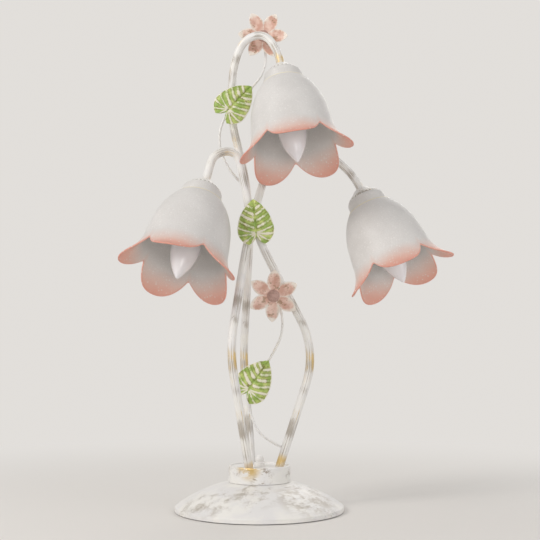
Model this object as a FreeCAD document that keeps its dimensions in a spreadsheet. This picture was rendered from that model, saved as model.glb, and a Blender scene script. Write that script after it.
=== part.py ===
import FreeCAD, Part
import math
import os
import Sketcher

# A table lamp with three bent stems, three tulip glass shades, and a wreath of
# sheet-metal leaves and flowers on wire vines. Millimetres, +Z up. The origin is the
# centre of the face that the lamp stands on.

Vector = FreeCAD.Vector
DOC = FreeCAD.newDocument("TulipShadeTableLamp")
SHEET = DOC.addObject("Spreadsheet::Sheet", "Sizes")

LAMPS = ("top", "left", "right")

# ---------------------------------------------------------------- driving sizes

DRIVING_SIZES = {
    # base
    "dome_radius": 172.0,
    "dome_edge_height": 6.77,
    "dome_wall": 1.2,
    "dome_opening_radius": 27.0,
    "rim_radius": 100.0,
    "rim_roll": 1.6,
    "rim_bend": 2.56,
    "rim_drop": 1.37,
    "rim_bottom": 1.0,
    "felt_thickness": 3.0,
    "felt_inset": 5.0,
    "felt_hole_room": 1.0,
    "plate_thickness": 1.5,
    "weight_gap": 1.0,
    "weight_thickness": 8.0,
    "plate_screw_circle": 60.0,
    "plate_screw_count": 3,
    "screw_radius": 2.0,
    "screw_head_radius": 3.8,
    "screw_head_height": 1.8,
    "screw_crown_radius": 2.66,
    "screw_grip": 5.0,
    "earth_screw_place": 45.0,
    # collar, stud and finial
    "collar_radius": 36.9,
    "collar_height": 19.6,
    "collar_wall": 1.5,
    "collar_lip_width": 3.4,
    "collar_recess": 1.6,
    "collar_disc_thickness": 2.0,
    "stud_radius": 3.0,
    "stud_into_finial": 7.5,
    "nut_height": 5.0,
    "nut_radius": 5.8,
    "counterbore_depth": 6.0,
    "counterbore_radius": 8.0,
    "washer_radius": 8.0,
    "washer_thickness": 1.0,
    "finial_foot_radius": 6.2,
    "finial_foot_height": 3.0,
    "finial_step": 1.0,
    "finial_waist_radius": 4.2,
    "finial_ball_radius": 5.2,
    # wiring
    "terminal_width": 40.0,
    "terminal_depth": 14.0,
    "terminal_height": 10.0,
    "terminal_inset": 34.0,
    "lead_spacing": 12.0,
    "lead_radius": 2.2,
    "lead_below_stem": 7.0,
    "lead_into_terminal": 4.2,
    "lead_into_holder": 3.0,
    "grommet_height": 11.5,
    "grommet_radius": 4.5,
    "grommet_bore": 3.3,
    "grommet_setback": 4.0,
    "grommet_length": 21.0,
    "grommet_flange_radius": 5.5,
    "grommet_flange_thickness": 2.0,
    # stems
    "stem_radius": 5.0,
    "stem_wall": 1.0,
    "stem_first_bend": 100.0,
    "stem_below_disc": 10.0,
    "stem_nut_radius": 7.6,
    "stem_nut_height": 4.0,
    # shade cap: a pressed and fluted cup with a flared foot
    "cap_flange_radius": 28.3,
    "cap_cup_radius": 23.6,
    "cap_height": 29.2,
    "cap_wall": 1.2,
    "cap_flare_height": 4.6,
    "cap_groove_depth": 1.1,
    "cap_crown_drop": 3.6,
    "cap_bead": 1.5,
    "cap_crown_radius": 14.6,
    "cap_crown_sink": 0.45,
    "cap_flare_bend": 5.2,
    "cap_flare_inner_bend": 6.1,
    "flute_count": 26,
    "flute_radius": 1.7,
    "flute_depth": 0.75,
    "cap_nut_radius": 8.5,
    "cap_nut_height": 3.0,
    # lampholder
    "holder_radius": 13.5,
    "holder_top": 24.6,
    "holder_mouth": 26.0,
    "holder_flange_radius": 16.8,
    "holder_flange_thickness": 2.0,
    "holder_shoulder": 2.0,
    "holder_shell_setback": 1.0,
    "holder_socket_depth": 6.0,
    "holder_chamber_radius": 9.0,
    "holder_floor_top": 0.0,
    "holder_floor_thickness": 3.0,
    "holder_shell_radius": 7.8,
    "holder_shell_wall": 0.5,
    "contact_radius": 4.0,
    "contact_thickness": 0.9,
    "contact_rivet_radius": 1.5,
    "ring_radius": 17.2,
    "ring_height": 6.0,
    "ring_bevel": 1.0,
    # glass shade
    "glass_wall": 3.0,
    "neck_radius": 21.2,
    "neck_top": 15.0,
    "neck_hole_radius": 14.6,
    "neck_bevel": 2.0,
    "neck_foot": 1.0,
    "shoulder_radius": 26.0,
    "shoulder_bend": 86.0,
    "belly_radius": 44.5,
    "belly_depth": 45.0,
    "waist_radius": 46.5,
    "waist_depth": 60.0,
    "petal_flare": 51.7,
    "petal_tip_radius": 68.9,
    "petal_tip_depth": 102.0,
    "petal_lip": 2.1,
    "petal_notch_depth": 79.6,
    "petal_count": 5,
    # candle bulb
    "bulb_contact_depth": 4.4,
    "bulb_tip_height": 2.6,
    "bulb_cap_radius": 6.3,
    "bulb_cap_length": 21.0,
    "bulb_thread_height": 0.6,
    "bulb_thread_pitch": 2.8,
    "bulb_thread_turns": 4,
    "bulb_cap_bevel": 1.2,
    "bulb_cap_flare": 1.5,
    "bulb_cap_wall": 0.5,
    "bulb_tip_radius": 5.5,
    "bulb_tip_crown": 2.4,
    "bulb_tip_edge": 0.4,
    "bulb_neck_radius": 8.2,
    "bulb_neck_length": 5.0,
    "bulb_neck_swell": 0.6,
    "bulb_shoulder_bend": 40.0,
    "bulb_side_bend": 70.0,
    "bulb_radius": 17.5,
    "bulb_widest_depth": 62.0,
    "bulb_end_depth": 104.4,
    "bulb_end_radius": 3.0,
    "bulb_end_bend": 3.3,
    "bulb_end_height": 2.4,
    "bulb_glass_wall": 0.8,
    # vines, leaves and flowers
    "vine_radius": 1.6,
    "leaf_tip": 41.0,
    "leaf_lobe": 15.0,
    "leaf_half_width": 22.3,
    "leaf_widest": 2.0,
    "leaf_lobe_spread": 9.4,
    "leaf_side_bend": 49.2,
    "leaf_lobe_bend": 19.8,
    "leaf_notch_bend": 18.0,
    "leaf_thickness": 1.2,
    "leaf_crown_radius": 130.0,
    "flower_radius": 31.5,
    "flower_petal_count": 6,
    "flower_petal_half_width": 8.6,
    "flower_petal_root": 4.0,
    "flower_petal_widest": 19.1,
    "flower_petal_root_bend": 14.2,
    "flower_petal_tip_bend": 17.3,
    "flower_disc_radius": 9.5,
    "flower_thickness": 1.2,
    "flower_crown_radius": 100.0,
    "flower_button_radius": 8.7,
    "flower_button_height": 3.2,
    # fits
    "sliding_gap": 0.05,
    "seat_gap": 0.2,
    "clear_gap": 0.3,
}

# Where each lamp sits: the centre of its cap's foot, the compass angle that its mouth
# points to, how far it leans from straight down, how its petals are turned, and the
# length of the stem's last straight run above the cap's foot.
LAMP_PLACES = {
    "top": {"x": 30.0, "y": -18.0, "z": 509.0, "azimuth": 298.0, "tilt": 17.9, "spin": 47.9, "drop": 50.0},
    "left": {"x": -70.4, "y": -43.4, "z": 362.2, "azimuth": 242.6, "tilt": 26.7, "spin": 69.0, "drop": 73.0},
    "right": {"x": 139.0, "y": 40.5, "z": 366.5, "azimuth": 326.6, "tilt": 25.9, "spin": 5.7, "drop": 59.0},
}

# The stems' bend points from the foot on the collar to the last bend before the lamp.
STEM_BENDS = {
    "top": ((-9.3, 22.5, 50.0), (-21.2, 60.3, 180.0), (-10.6, 13.0, 370.5), (-37.9, 20.0, 486.5),
            (-32.8, 14.0, 548.0), (-19.9, 7.0, 576.5), (6.3, 0.0, 581.5)),
    "left": ((23.3, -3.5, 50.0), (68.6, -7.0, 188.5), (-7.0, -12.0, 332.0), (-27.5, -10.0, 431.5)),
    "right": ((-11.6, -20.7, 50.0), (-33.9, -52.3, 189.0), (-13.0, -4.4, 335.0), (11.7, 34.0, 427.0),
              (68.8, 48.0, 449.5)),
}

# The vines: soft wire bent by hand from a stem towards the back of a flower.
VINE_BENDS = {
    "upper": ((-23.6, 13.1, 396.0), (-37.0, 9.0, 409.0), (-50.0, 6.0, 437.0), (-50.0, 9.0, 462.0),
              (-41.7, 11.2, 482.7), (-11.2, 11.2, 514.0), (3.0, 15.0, 533.0), (8.0, 19.0, 552.0)),
    "lower": ((25.6, -4.3, 75.0), (15.5, -2.0, 79.0), (-2.0, -2.0, 92.0), (-13.0, -2.0, 118.0),
              (-12.0, -3.0, 143.6), (13.6, -3.0, 180.2), (26.0, -7.0, 205.0), (28.0, -11.0, 222.0),
              (25.0, -13.4, 240.0)),
}

# Each vine ends behind a flower, at this offset from the flower's centre.
VINE_ENDS = {
    "upper": {"flower": "top", "offset": (0.8, 3.2, -4.7)},
    "lower": {"flower": "lower", "offset": (0.9, 3.1, -2.3)},
}

# Each leaf's notch, where the wire or stem carries it, and its swing, which turns the tip
# up from +X as seen from the front.
LEAF_PLACES = {
    "top": {"x": -38.5, "y": 4.9, "z": 486.8, "swing": 46.8},
    "middle": {"x": -4.2, "y": -20.9, "z": 329.5, "swing": 95.0},
    "bottom": {"x": -12.1, "y": -9.2, "z": 142.9, "swing": 55.9},
}
FLOWER_PLACES = {
    "top": {"x": 3.7, "y": 16.6, "z": 583.7, "swing": -2.0},
    "lower": {"x": 16.6, "y": -17.0, "z": 253.3, "swing": 27.0},
}


class Size:
    """A length with its value now and the expression that ties it to the sheet."""

    def __init__(self, value, text):
        self.value = value
        self.text = text

    def __add__(self, other):
        other = as_size(other)
        return Size(self.value + other.value, f"({self.text} + {other.text})")

    def __sub__(self, other):
        other = as_size(other)
        return Size(self.value - other.value, f"({self.text} - {other.text})")

    def __mul__(self, other):
        other = as_size(other)
        return Size(self.value * other.value, f"({self.text} * {other.text})")

    def __truediv__(self, other):
        other = as_size(other)
        return Size(self.value / other.value, f"({self.text} / {other.text})")

    def __neg__(self):
        return Size(-self.value, f"(0 - {self.text})")

    def root(self):
        return Size(math.sqrt(self.value), f"sqrt({self.text})")


def as_size(number):
    return number if isinstance(number, Size) else Size(float(number), repr(float(number)))


def fill_sheet():
    """Writes every driving size into the sheet, one named row each."""
    rows = dict(DRIVING_SIZES)
    for lamp, place in LAMP_PLACES.items():
        rows.update({f"{lamp}_lamp_{key}": number for key, number in place.items()})
    for stem, bends in STEM_BENDS.items():
        rows.update(point_rows(f"{stem}_stem", bends))
    for vine, bends in VINE_BENDS.items():
        rows.update(point_rows(f"{vine}_vine", bends))
        for axis, length in zip("xyz", VINE_ENDS[vine]["offset"]):
            rows[f"{vine}_vine_end_{axis}"] = length
    for leaf, place in LEAF_PLACES.items():
        rows.update({f"{leaf}_leaf_{key}": number for key, number in place.items()})
    for flower, place in FLOWER_PLACES.items():
        rows.update({f"{flower}_flower_{key}": number for key, number in place.items()})
    for row, (alias, number) in enumerate(rows.items(), start=1):
        SHEET.set(f"A{row}", alias)
        SHEET.set(f"B{row}", str(number))
        SHEET.setAlias(f"B{row}", alias)
    DOC.recompute()


def point_rows(name, points):
    rows = {}
    for number, point in enumerate(points, start=1):
        for axis, length in zip("xyz", point):
            rows[f"{name}_bend_{number}_{axis}"] = length
    return rows


def size(alias):
    return Size(float(getattr(SHEET, alias)), f"Sizes.{alias}")


def number(alias):
    return float(getattr(SHEET, alias))


def count(alias):
    return int(round(number(alias)))


def point_of(name):
    return Vector(*(number(f"{name}_{axis}") for axis in "xyz"))


def points_of(name, total):
    return [point_of(f"{name}_bend_{index}") for index in range(1, total + 1)]


# ---------------------------------------------------------------- modelling helpers

PIECES = []


def piece(shaped, label, placement=None):
    """Names a finished piece, puts it in its place and lists it for export."""
    shaped.Label = label
    if placement is not None:
        shaped.Placement = placement
    PIECES.append(shaped)
    return shaped


def new_body(name):
    return DOC.addObject("PartDesign::Body", name)


def sketch_on(body, name, role, offset=None):
    """A sketch on one of the body's own origin planes, moved along its normal by offset."""
    sketch = body.newObject("Sketcher::SketchObject", name)
    plane = next(item for item in body.Origin.OriginFeatures if item.Role == role)
    sketch.AttachmentSupport = [(plane, "")]
    sketch.MapMode = "FlatFace"
    if offset is not None:
        sketch.AttachmentOffset = FreeCAD.Placement(Vector(0, 0, offset.value), FreeCAD.Rotation())
        sketch.setExpression("AttachmentOffset.Base.z", offset.text)
    return sketch


def edge_between(start, end, bend):
    """A straight edge, or an arc whose centre lies left of the way if bend is positive."""
    if bend is None:
        return Part.LineSegment(start, end), 1, 2
    chord = end - start
    half = chord.Length / 2
    across = Vector(-chord.y, chord.x, 0).normalize()
    away = math.sqrt(max(bend * bend - half * half, 0.0))
    centre = (start + end) / 2 + across * math.copysign(away, bend)
    turns = [math.atan2(point.y - centre.y, point.x - centre.x) for point in (start, end)]
    circle = Part.Circle(centre, Vector(0, 0, 1), abs(bend))
    if bend > 0:
        return Part.ArcOfCircle(circle, turns[0], turns[1]), 1, 2
    return Part.ArcOfCircle(circle, turns[1], turns[0]), 2, 1


def draw(sketch, outline):
    """Draws a closed outline of (x, y) corners, each tied to the sheet. A third entry
    bends the edge that leaves the corner to that radius."""
    corners = [tuple(as_size(entry) for entry in corner) for corner in outline]
    geometry = []
    starts = []
    ends = []
    for corner, following in zip(corners, corners[1:] + corners[:1]):
        start = Vector(corner[0].value, corner[1].value, 0)
        end = Vector(following[0].value, following[1].value, 0)
        bend = corner[2].value if len(corner) == 3 else None
        edge, first, last = edge_between(start, end, bend)
        geometry.append(edge)
        starts.append(first)
        ends.append(last)
    offset = len(sketch.Geometry)
    sketch.addGeometry(geometry, False)
    rules = []
    bound = []
    for index, corner in enumerate(corners):
        edge = offset + index
        before = offset + (index - 1) % len(corners)
        rules.append(Sketcher.Constraint("Coincident", before, ends[index - 1], edge, starts[index]))
        bound.append((len(rules), corner[0]))
        rules.append(Sketcher.Constraint("DistanceX", -1, 1, edge, starts[index], corner[0].value))
        bound.append((len(rules), corner[1]))
        rules.append(Sketcher.Constraint("DistanceY", -1, 1, edge, starts[index], corner[1].value))
        if len(corner) == 3:
            bent = corner[2] if corner[2].value > 0 else -corner[2]
            bound.append((len(rules), bent))
            rules.append(Sketcher.Constraint("Radius", edge, bent.value))
    first_rule = len(sketch.Constraints)
    sketch.addConstraint(rules)
    for index, length in bound:
        if "Sizes" in length.text:
            sketch.setExpression(f"Constraints[{first_rule + index}]", length.text)


def draw_circle(sketch, x, y, radius):
    x, y, radius = as_size(x), as_size(y), as_size(radius)
    circle = Part.Circle(Vector(x.value, y.value, 0), Vector(0, 0, 1), radius.value)
    edge = sketch.addGeometry(circle, False)
    first_rule = len(sketch.Constraints)
    sketch.addConstraint([
        Sketcher.Constraint("DistanceX", -1, 1, edge, 3, x.value),
        Sketcher.Constraint("DistanceY", -1, 1, edge, 3, y.value),
        Sketcher.Constraint("Radius", edge, radius.value),
    ])
    for index, length in enumerate((x, y, radius)):
        if "Sizes" in length.text:
            sketch.setExpression(f"Constraints[{first_rule + index}]", length.text)


def turned(name, outline):
    """A turned piece: a half section in the XZ plane, revolved about Z."""
    body = new_body(name)
    section = sketch_on(body, f"{name}_section", "XZ_Plane")
    draw(section, outline)
    turn = body.newObject("PartDesign::Revolution", f"{name}_turn")
    turn.Profile = section
    turn.ReferenceAxis = (section, ["V_Axis"])
    turn.Angle = 360
    return body


def padded_up(body, sketch, length):
    pad = body.newObject("PartDesign::Pad", f"{sketch.Name}_pad")
    pad.Profile = sketch
    pad.Length = length.value
    pad.setExpression("Length", length.text)
    return pad


def pocket_up(body, sketch, length):
    """Cuts along the sketch's normal, away from its front."""
    pocket = body.newObject("PartDesign::Pocket", f"{sketch.Name}_pocket")
    pocket.Profile = sketch
    pocket.Length = length.value
    pocket.setExpression("Length", length.text)
    pocket.Reversed = True
    return pocket


def around(body, feature, axis_sketch, copies):
    """Repeats a feature about Z."""
    pattern = body.newObject("PartDesign::PolarPattern", f"{feature.Name}_pattern")
    pattern.Originals = [feature]
    pattern.Axis = (axis_sketch, ["N_Axis"])
    pattern.Angle = 360
    pattern.Occurrences = int(round(copies.value))
    pattern.setExpression("Occurrences", copies.text)
    body.Tip = pattern
    return pattern


def drill_circle(body, name, places, radius, bottom, depth):
    """Straight holes at (x, y) places, upwards from a height."""
    sketch = sketch_on(body, name, "XY_Plane", bottom)
    for x, y in places:
        draw_circle(sketch, x, y, radius)
    return pocket_up(body, sketch, depth)


def on_circle(radius, total):
    """Places evenly spaced on a circle, the first on the -Y side."""
    turns = [math.tau * index / total - math.pi / 2 for index in range(total)]
    return [(radius * math.cos(turn), radius * math.sin(turn)) for turn in turns]


def bent_path(points, first_bend=None):
    """Straight runs joined by tangent arcs, each as large as its two runs allow."""
    end_share = 0.9
    middle_share = 0.48
    last = len(points) - 2
    edges = []
    here = points[0]
    for index in range(1, len(points) - 1):
        before = points[index - 1] - points[index]
        after = points[index + 1] - points[index]
        turn = math.pi - before.getAngle(after)
        room = min(
            before.Length * (end_share if index == 1 else middle_share),
            after.Length * (end_share if index == last else middle_share),
        )
        if index == 1 and first_bend is not None:
            room = min(room, first_bend * math.tan(turn / 2))
        radius = room / math.tan(turn / 2)
        before.normalize()
        after.normalize()
        start = points[index] + before * room
        end = points[index] + after * room
        inward = (before + after).normalize()
        middle = points[index] + inward * (radius / math.cos(turn / 2) - radius)
        if (start - here).Length > 1e-6:
            edges.append(Part.LineSegment(here, start).toShape())
        edges.append(Part.Arc(start, middle, end).toShape())
        here = end
    edges.append(Part.LineSegment(here, points[-1]).toShape())
    return Part.Wire(edges)


def rod_along(path, radius):
    """A round rod along a path of lines and arcs."""
    first = path.OrderedEdges[0]
    start = path.OrderedVertexes[0].Point
    heading = first.tangentAt(first.FirstParameter)
    ring = Part.Wire([Part.makeCircle(radius, start, heading)])
    rod = path.makePipeShell([ring], True, False)
    expected = math.pi * radius * radius * path.Length
    if not rod.isValid() or abs(rod.Volume / expected - 1) > 0.01:
        raise RuntimeError(f"the rod's volume is {rod.Volume:.1f}, not {expected:.1f}")
    return rod


def shaped(label, shape, placement=None):
    feature = DOC.addObject("Part::Feature", label)
    feature.Shape = shape
    return piece(feature, label, placement)


# ---------------------------------------------------------------- places and levels

def lamp_frame(lamp):
    """The placement of a lamp: local Z points up its axis, local X to a notch between petals."""
    azimuth = math.radians(number(f"{lamp}_lamp_azimuth"))
    tilt = math.radians(number(f"{lamp}_lamp_tilt"))
    spin = math.radians(number(f"{lamp}_lamp_spin"))
    lean = math.sin(tilt)
    mouth = Vector(lean * math.cos(azimuth), lean * math.sin(azimuth), -math.cos(tilt))
    level = mouth.cross(Vector(0, 0, 1)).normalize()
    steep = mouth.cross(level)
    notch = level * math.cos(spin) + steep * math.sin(spin)
    up = -mouth
    side = up.cross(notch)
    turn = FreeCAD.Rotation(notch, side, up, "ZXY")
    return FreeCAD.Placement(point_of(f"{lamp}_lamp"), turn)


def front_frame(name):
    """The placement of a leaf or flower: local Z faces the front, local X to its tip."""
    facing = FreeCAD.Rotation(Vector(1, 0, 0), 90)
    swing = FreeCAD.Rotation(Vector(0, 0, 1), number(f"{name}_swing"))
    return FreeCAD.Placement(point_of(name), facing.multiply(swing))


def dome_edge():
    """The radius where the dome ends and its rolled rim starts."""
    return size("rim_radius") - size("rim_roll")


def above_ball_centre(radius):
    """Height of the dome's ball above the ball's centre, at a radius."""
    ball = size("dome_radius")
    return (ball * ball - radius * radius).root()


def dome_height(radius):
    """How high the dome's outer face is at a radius."""
    return size("dome_edge_height") + above_ball_centre(radius) - above_ball_centre(dome_edge())


def felt_radius():
    return size("rim_radius") - size("felt_inset")


def grommet_outer_end():
    return size("rim_radius") - size("grommet_setback")


def grommet_inner_end():
    return grommet_outer_end() - size("grommet_length")


def weight_radius():
    """The weight reaches almost to the grommet."""
    return grommet_inner_end() - size("weight_gap")


def terminal_front():
    return weight_radius() - size("terminal_inset")


def plate_top():
    return size("felt_thickness") + size("plate_thickness")


def weight_bottom():
    return plate_top() + size("seat_gap")


def weight_top():
    return weight_bottom() + size("weight_thickness")


def collar_top():
    return dome_height(size("collar_radius")) + size("collar_height")


def disc_top():
    return collar_top() - size("collar_recess")


def disc_bottom():
    return disc_top() - size("collar_disc_thickness")


def stem_points(lamp):
    """The stem's bend points, from its end under the collar's disc to its end in the cap."""
    bends = points_of(f"{lamp}_stem", len(STEM_BENDS[lamp]))
    rising = (bends[1] - bends[0]).normalize()
    disc = disc_bottom().value
    bottom = bends[0] + rising * ((disc - bends[0].z) / rising.z - number("stem_below_disc"))
    frame = lamp_frame(lamp)
    last_bend = frame.multVec(Vector(0, 0, number(f"{lamp}_lamp_drop")))
    top = frame.multVec(Vector(0, 0, stem_end().value))
    return [bottom] + bends[1:] + [last_bend, top]


def stem_end():
    """Height above the cap's foot where the stem stops inside the lampholder."""
    return size("holder_top") - size("holder_socket_depth") + size("seat_gap")


# ---------------------------------------------------------------- base

def make_dome():
    wall = size("dome_wall")
    rim = size("rim_radius")
    edge = dome_edge()
    hole = size("dome_opening_radius")
    inner = size("dome_radius") - wall
    body = turned("base_dome", [
        (hole, dome_height(hole), -size("dome_radius")),
        (edge, dome_height(edge), -size("rim_bend")),
        (rim, dome_height(edge) - size("rim_drop")),
        (rim, size("rim_bottom")),
        (rim - wall, size("rim_bottom")),
        (rim - wall, plate_top() + size("clear_gap")),
        (edge - wall, dome_height(edge) - wall, inner),
        (hole, dome_height(hole) - wall),
    ])
    hole_sketch = sketch_on(body, "grommet_hole", "XZ_Plane")
    draw_circle(hole_sketch, 0, size("grommet_height"), size("grommet_radius") + size("sliding_gap"))
    pocket = body.newObject("PartDesign::Pocket", "grommet_hole_pocket")
    pocket.Profile = hole_sketch
    pocket.Length = number("rim_radius")
    pocket.setExpression("Length", "Sizes.rim_radius")
    piece(body, "base_dome")


def make_weight():
    bottom = weight_bottom()
    stud = size("stud_radius") + size("clear_gap")
    counterbore = bottom + size("counterbore_depth")
    edge = weight_radius()
    bevel = 1.0
    body = turned("base_weight", [
        (size("counterbore_radius"), bottom),
        (edge - bevel, bottom),
        (edge, bottom + bevel),
        (edge, weight_top() - bevel),
        (edge - bevel, weight_top()),
        (stud, weight_top()),
        (stud, counterbore),
        (size("counterbore_radius"), counterbore),
    ])
    places = on_circle(number("plate_screw_circle"), count("plate_screw_count"))
    radius = size("screw_radius") + size("sliding_gap")
    drill_circle(body, "weight_screw_holes", bound_places(places), radius, bottom, size("weight_thickness"))
    earth = [(size("earth_screw_place"), 0)]
    drill_circle(body, "weight_earth_hole", earth, radius, bottom, size("weight_thickness"))
    piece(body, "base_weight")


def bound_places(places):
    """Screw places tied to the screw circle of the sheet."""
    circle = number("plate_screw_circle")
    return [(size("plate_screw_circle") * (x / circle), size("plate_screw_circle") * (y / circle))
            for x, y in places]


def make_plate_and_felt():
    places = bound_places(on_circle(number("plate_screw_circle"), count("plate_screw_count")))
    plate_radius = size("rim_radius") - size("dome_wall") - size("clear_gap")
    plate = new_body("base_plate")
    disc = sketch_on(plate, "plate_disc", "XY_Plane", size("felt_thickness"))
    draw_circle(disc, 0, 0, plate_radius)
    for x, y in places:
        draw_circle(disc, x, y, size("screw_radius") + size("clear_gap"))
    padded_up(plate, disc, size("plate_thickness"))
    piece(plate, "base_plate")
    felt = new_body("felt_pad")
    disc = sketch_on(felt, "felt_disc", "XY_Plane")
    draw_circle(disc, 0, 0, felt_radius())
    for x, y in places:
        draw_circle(disc, x, y, size("screw_head_radius") + size("felt_hole_room"))
    padded_up(felt, disc, size("felt_thickness"))
    piece(felt, "felt_pad")


def pan_screw(name, head_bottom, shank_end):
    """A pan-head screw along Z, its head below its shank."""
    head_top = head_bottom + size("screw_head_height")
    head = size("screw_head_radius")
    return turned(name, [
        (0, head_bottom),
        (size("screw_crown_radius"), head_bottom),
        (head, head_bottom + size("screw_head_height") * 0.5),
        (head, head_top),
        (size("screw_radius"), head_top),
        (size("screw_radius"), shank_end),
        (0, shank_end),
    ])


def make_screws():
    head_bottom = size("felt_thickness") - size("screw_head_height")
    body = pan_screw("plate_screws_one", head_bottom, plate_top() + size("screw_grip"))
    DOC.recompute()
    places = on_circle(number("plate_screw_circle"), count("plate_screw_count"))
    copies = [body.Shape.translated(Vector(x, y, 0)) for x, y in places]
    shaped("plate_screws", Part.makeCompound(copies))
    earth = pan_screw("earth_screw", as_size(0), size("screw_head_height") + size("screw_grip"))
    top = weight_top().value + number("screw_head_height")
    upside_down = FreeCAD.Rotation(Vector(1, 0, 0), 180)
    piece(earth, "earth_screw", FreeCAD.Placement(Vector(number("earth_screw_place"), 0, top), upside_down))


def make_collar():
    outer = size("collar_radius")
    wall = size("collar_wall")
    foot = dome_height(outer - wall) + size("seat_gap")
    top = collar_top()
    lip = size("collar_lip_width")
    blank = turned("collar_blank", [
        (outer, foot),
        (outer, top - lip * 0.5, lip * 0.5),
        (outer - lip, top - lip * 0.5),
        (outer - lip, disc_top()),
        (size("stud_radius") + size("clear_gap"), disc_top()),
        (size("stud_radius") + size("clear_gap"), disc_bottom()),
        (outer - wall, disc_bottom()),
        (outer - wall, foot),
    ])
    holes = []
    for lamp in LAMPS:
        low, rising = stem_foot(lamp)
        hole = DOC.addObject("Part::Cylinder", f"collar_hole_{lamp}")
        hole.Radius = number("stem_radius") + number("sliding_gap")
        hole.setExpression("Radius", "Sizes.stem_radius + Sizes.sliding_gap")
        hole.Height = number("stem_below_disc") * 3
        hole.setExpression("Height", "Sizes.stem_below_disc * 3")
        hole.Placement = FreeCAD.Placement(low, FreeCAD.Rotation(Vector(0, 0, 1), rising))
        holes.append(hole)
    tool = DOC.addObject("Part::MultiFuse", "collar_holes")
    tool.Shapes = holes
    cut = DOC.addObject("Part::Cut", "collar")
    cut.Base = blank
    cut.Tool = tool
    piece(cut, "collar")


def stem_foot(lamp):
    points = stem_points(lamp)
    return points[0], (points[1] - points[0]).normalize()


def make_stud_and_finial():
    stud = size("stud_radius")
    nut_top = weight_bottom() + size("counterbore_depth")
    nut_bottom = nut_top - size("nut_height")
    seat = disc_top() + size("washer_thickness")
    stud_top = seat + size("stud_into_finial")
    bevel = 0.5
    piece(turned("stud", [
        (0, nut_bottom - bevel),
        (stud - bevel, nut_bottom - bevel),
        (stud, nut_bottom),
        (stud, stud_top - bevel),
        (stud - bevel, stud_top),
        (0, stud_top),
    ]), "stud")
    piece(hex_nut("stud_nut", size("nut_radius"), stud + size("sliding_gap"), nut_bottom, size("nut_height")),
          "stud_nut")
    piece(turned("finial_washer", [
        (stud + size("clear_gap"), disc_top()),
        (size("washer_radius"), disc_top()),
        (size("washer_radius"), seat),
        (stud + size("clear_gap"), seat),
    ]), "finial_washer")
    foot = size("finial_foot_radius")
    foot_top = seat + size("finial_foot_height")
    ball = size("finial_ball_radius")
    waist = size("finial_waist_radius")
    waist_level = foot_top + size("finial_step")
    ball_centre = waist_level + (ball * ball - waist * waist).root()
    bore = stud + size("sliding_gap")
    piece(turned("finial_nut", [
        (bore, seat),
        (foot, seat),
        (foot, foot_top),
        (waist, waist_level, ball),
        (0, ball_centre + ball),
        (0, stud_top + size("clear_gap")),
        (bore, stud_top + size("clear_gap")),
    ]), "finial_nut")


def hex_nut(name, corner, bore, bottom, height):
    """A hexagon nut with its axis on Z; corner is the distance from axis to corner."""
    body = new_body(name)
    sketch = sketch_on(body, f"{name}_hexagon", "XY_Plane", bottom)
    turns = [math.tau * index / 6 for index in range(6)]
    draw(sketch, [(corner * math.cos(turn), corner * math.sin(turn)) for turn in turns])
    draw_circle(sketch, 0, 0, bore)
    padded_up(body, sketch, height)
    return body


def make_stem_nuts():
    """The locknuts that hold the three stems under the collar's disc."""
    one = hex_nut("stem_nuts_one", size("stem_nut_radius"), size("stem_radius") + size("sliding_gap"),
                  as_size(0), size("stem_nut_height"))
    DOC.recompute()
    nuts = []
    for lamp in LAMPS:
        low, rising = stem_foot(lamp)
        lean = math.tan(rising.getAngle(Vector(0, 0, 1)))
        below = (number("stem_nut_radius") * lean + number("seat_gap") + number("stem_nut_height"))
        place = low + rising * (number("stem_below_disc") - below)
        nut = one.Shape.copy()
        nut.Placement = FreeCAD.Placement(place, FreeCAD.Rotation(Vector(0, 0, 1), rising))
        nuts.append(nut)
    shaped("stem_nuts", Part.makeCompound(nuts))


def make_terminal_block():
    body = new_body("terminal_block")
    half = size("terminal_width") * 0.5
    front = terminal_front()
    back = front + size("terminal_depth")
    sketch = sketch_on(body, "terminal_block_plan", "XY_Plane", weight_top() + size("seat_gap"))
    draw(sketch, [(-half, front), (half, front), (half, back), (-half, back)])
    padded_up(body, sketch, size("terminal_height"))
    holes = sketch_on(body, "terminal_block_holes", "XZ_Plane")
    lead_hole = size("lead_radius") + size("clear_gap")
    for place in (-1, 0, 1):
        draw_circle(holes, size("lead_spacing") * place, lead_level(), lead_hole)
    pocket = body.newObject("PartDesign::Pocket", "terminal_block_pocket")
    pocket.Profile = holes
    pocket.Length = (front + size("terminal_depth") * 0.5).value
    pocket.setExpression("Length", (front + size("terminal_depth") * 0.5).text)
    piece(body, "terminal_block")


def lead_level():
    return weight_top() + size("seat_gap") + size("terminal_height") * 0.5


def make_grommet():
    bore = size("grommet_bore")
    radius = size("grommet_radius")
    outer = grommet_outer_end()
    inner = grommet_inner_end()
    flange = inner + size("grommet_flange_thickness")
    bevel = 0.8
    body = turned("cord_grommet", [
        (bore, inner),
        (size("grommet_flange_radius"), inner),
        (size("grommet_flange_radius"), flange),
        (radius, flange),
        (radius, outer - bevel),
        (radius - bevel, outer),
        (bore, outer),
    ])
    lying = FreeCAD.Rotation(Vector(1, 0, 0), -90)
    piece(body, "cord_grommet", FreeCAD.Placement(Vector(0, 0, number("grommet_height")), lying))


# ---------------------------------------------------------------- stems and leads

def make_stems():
    for lamp in LAMPS:
        path = bent_path(stem_points(lamp), number("stem_first_bend"))
        outside = rod_along(path, number("stem_radius"))
        bore = rod_along(path, number("stem_radius") - number("stem_wall"))
        shaped(f"stem_{lamp}", outside.cut(bore))


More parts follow.
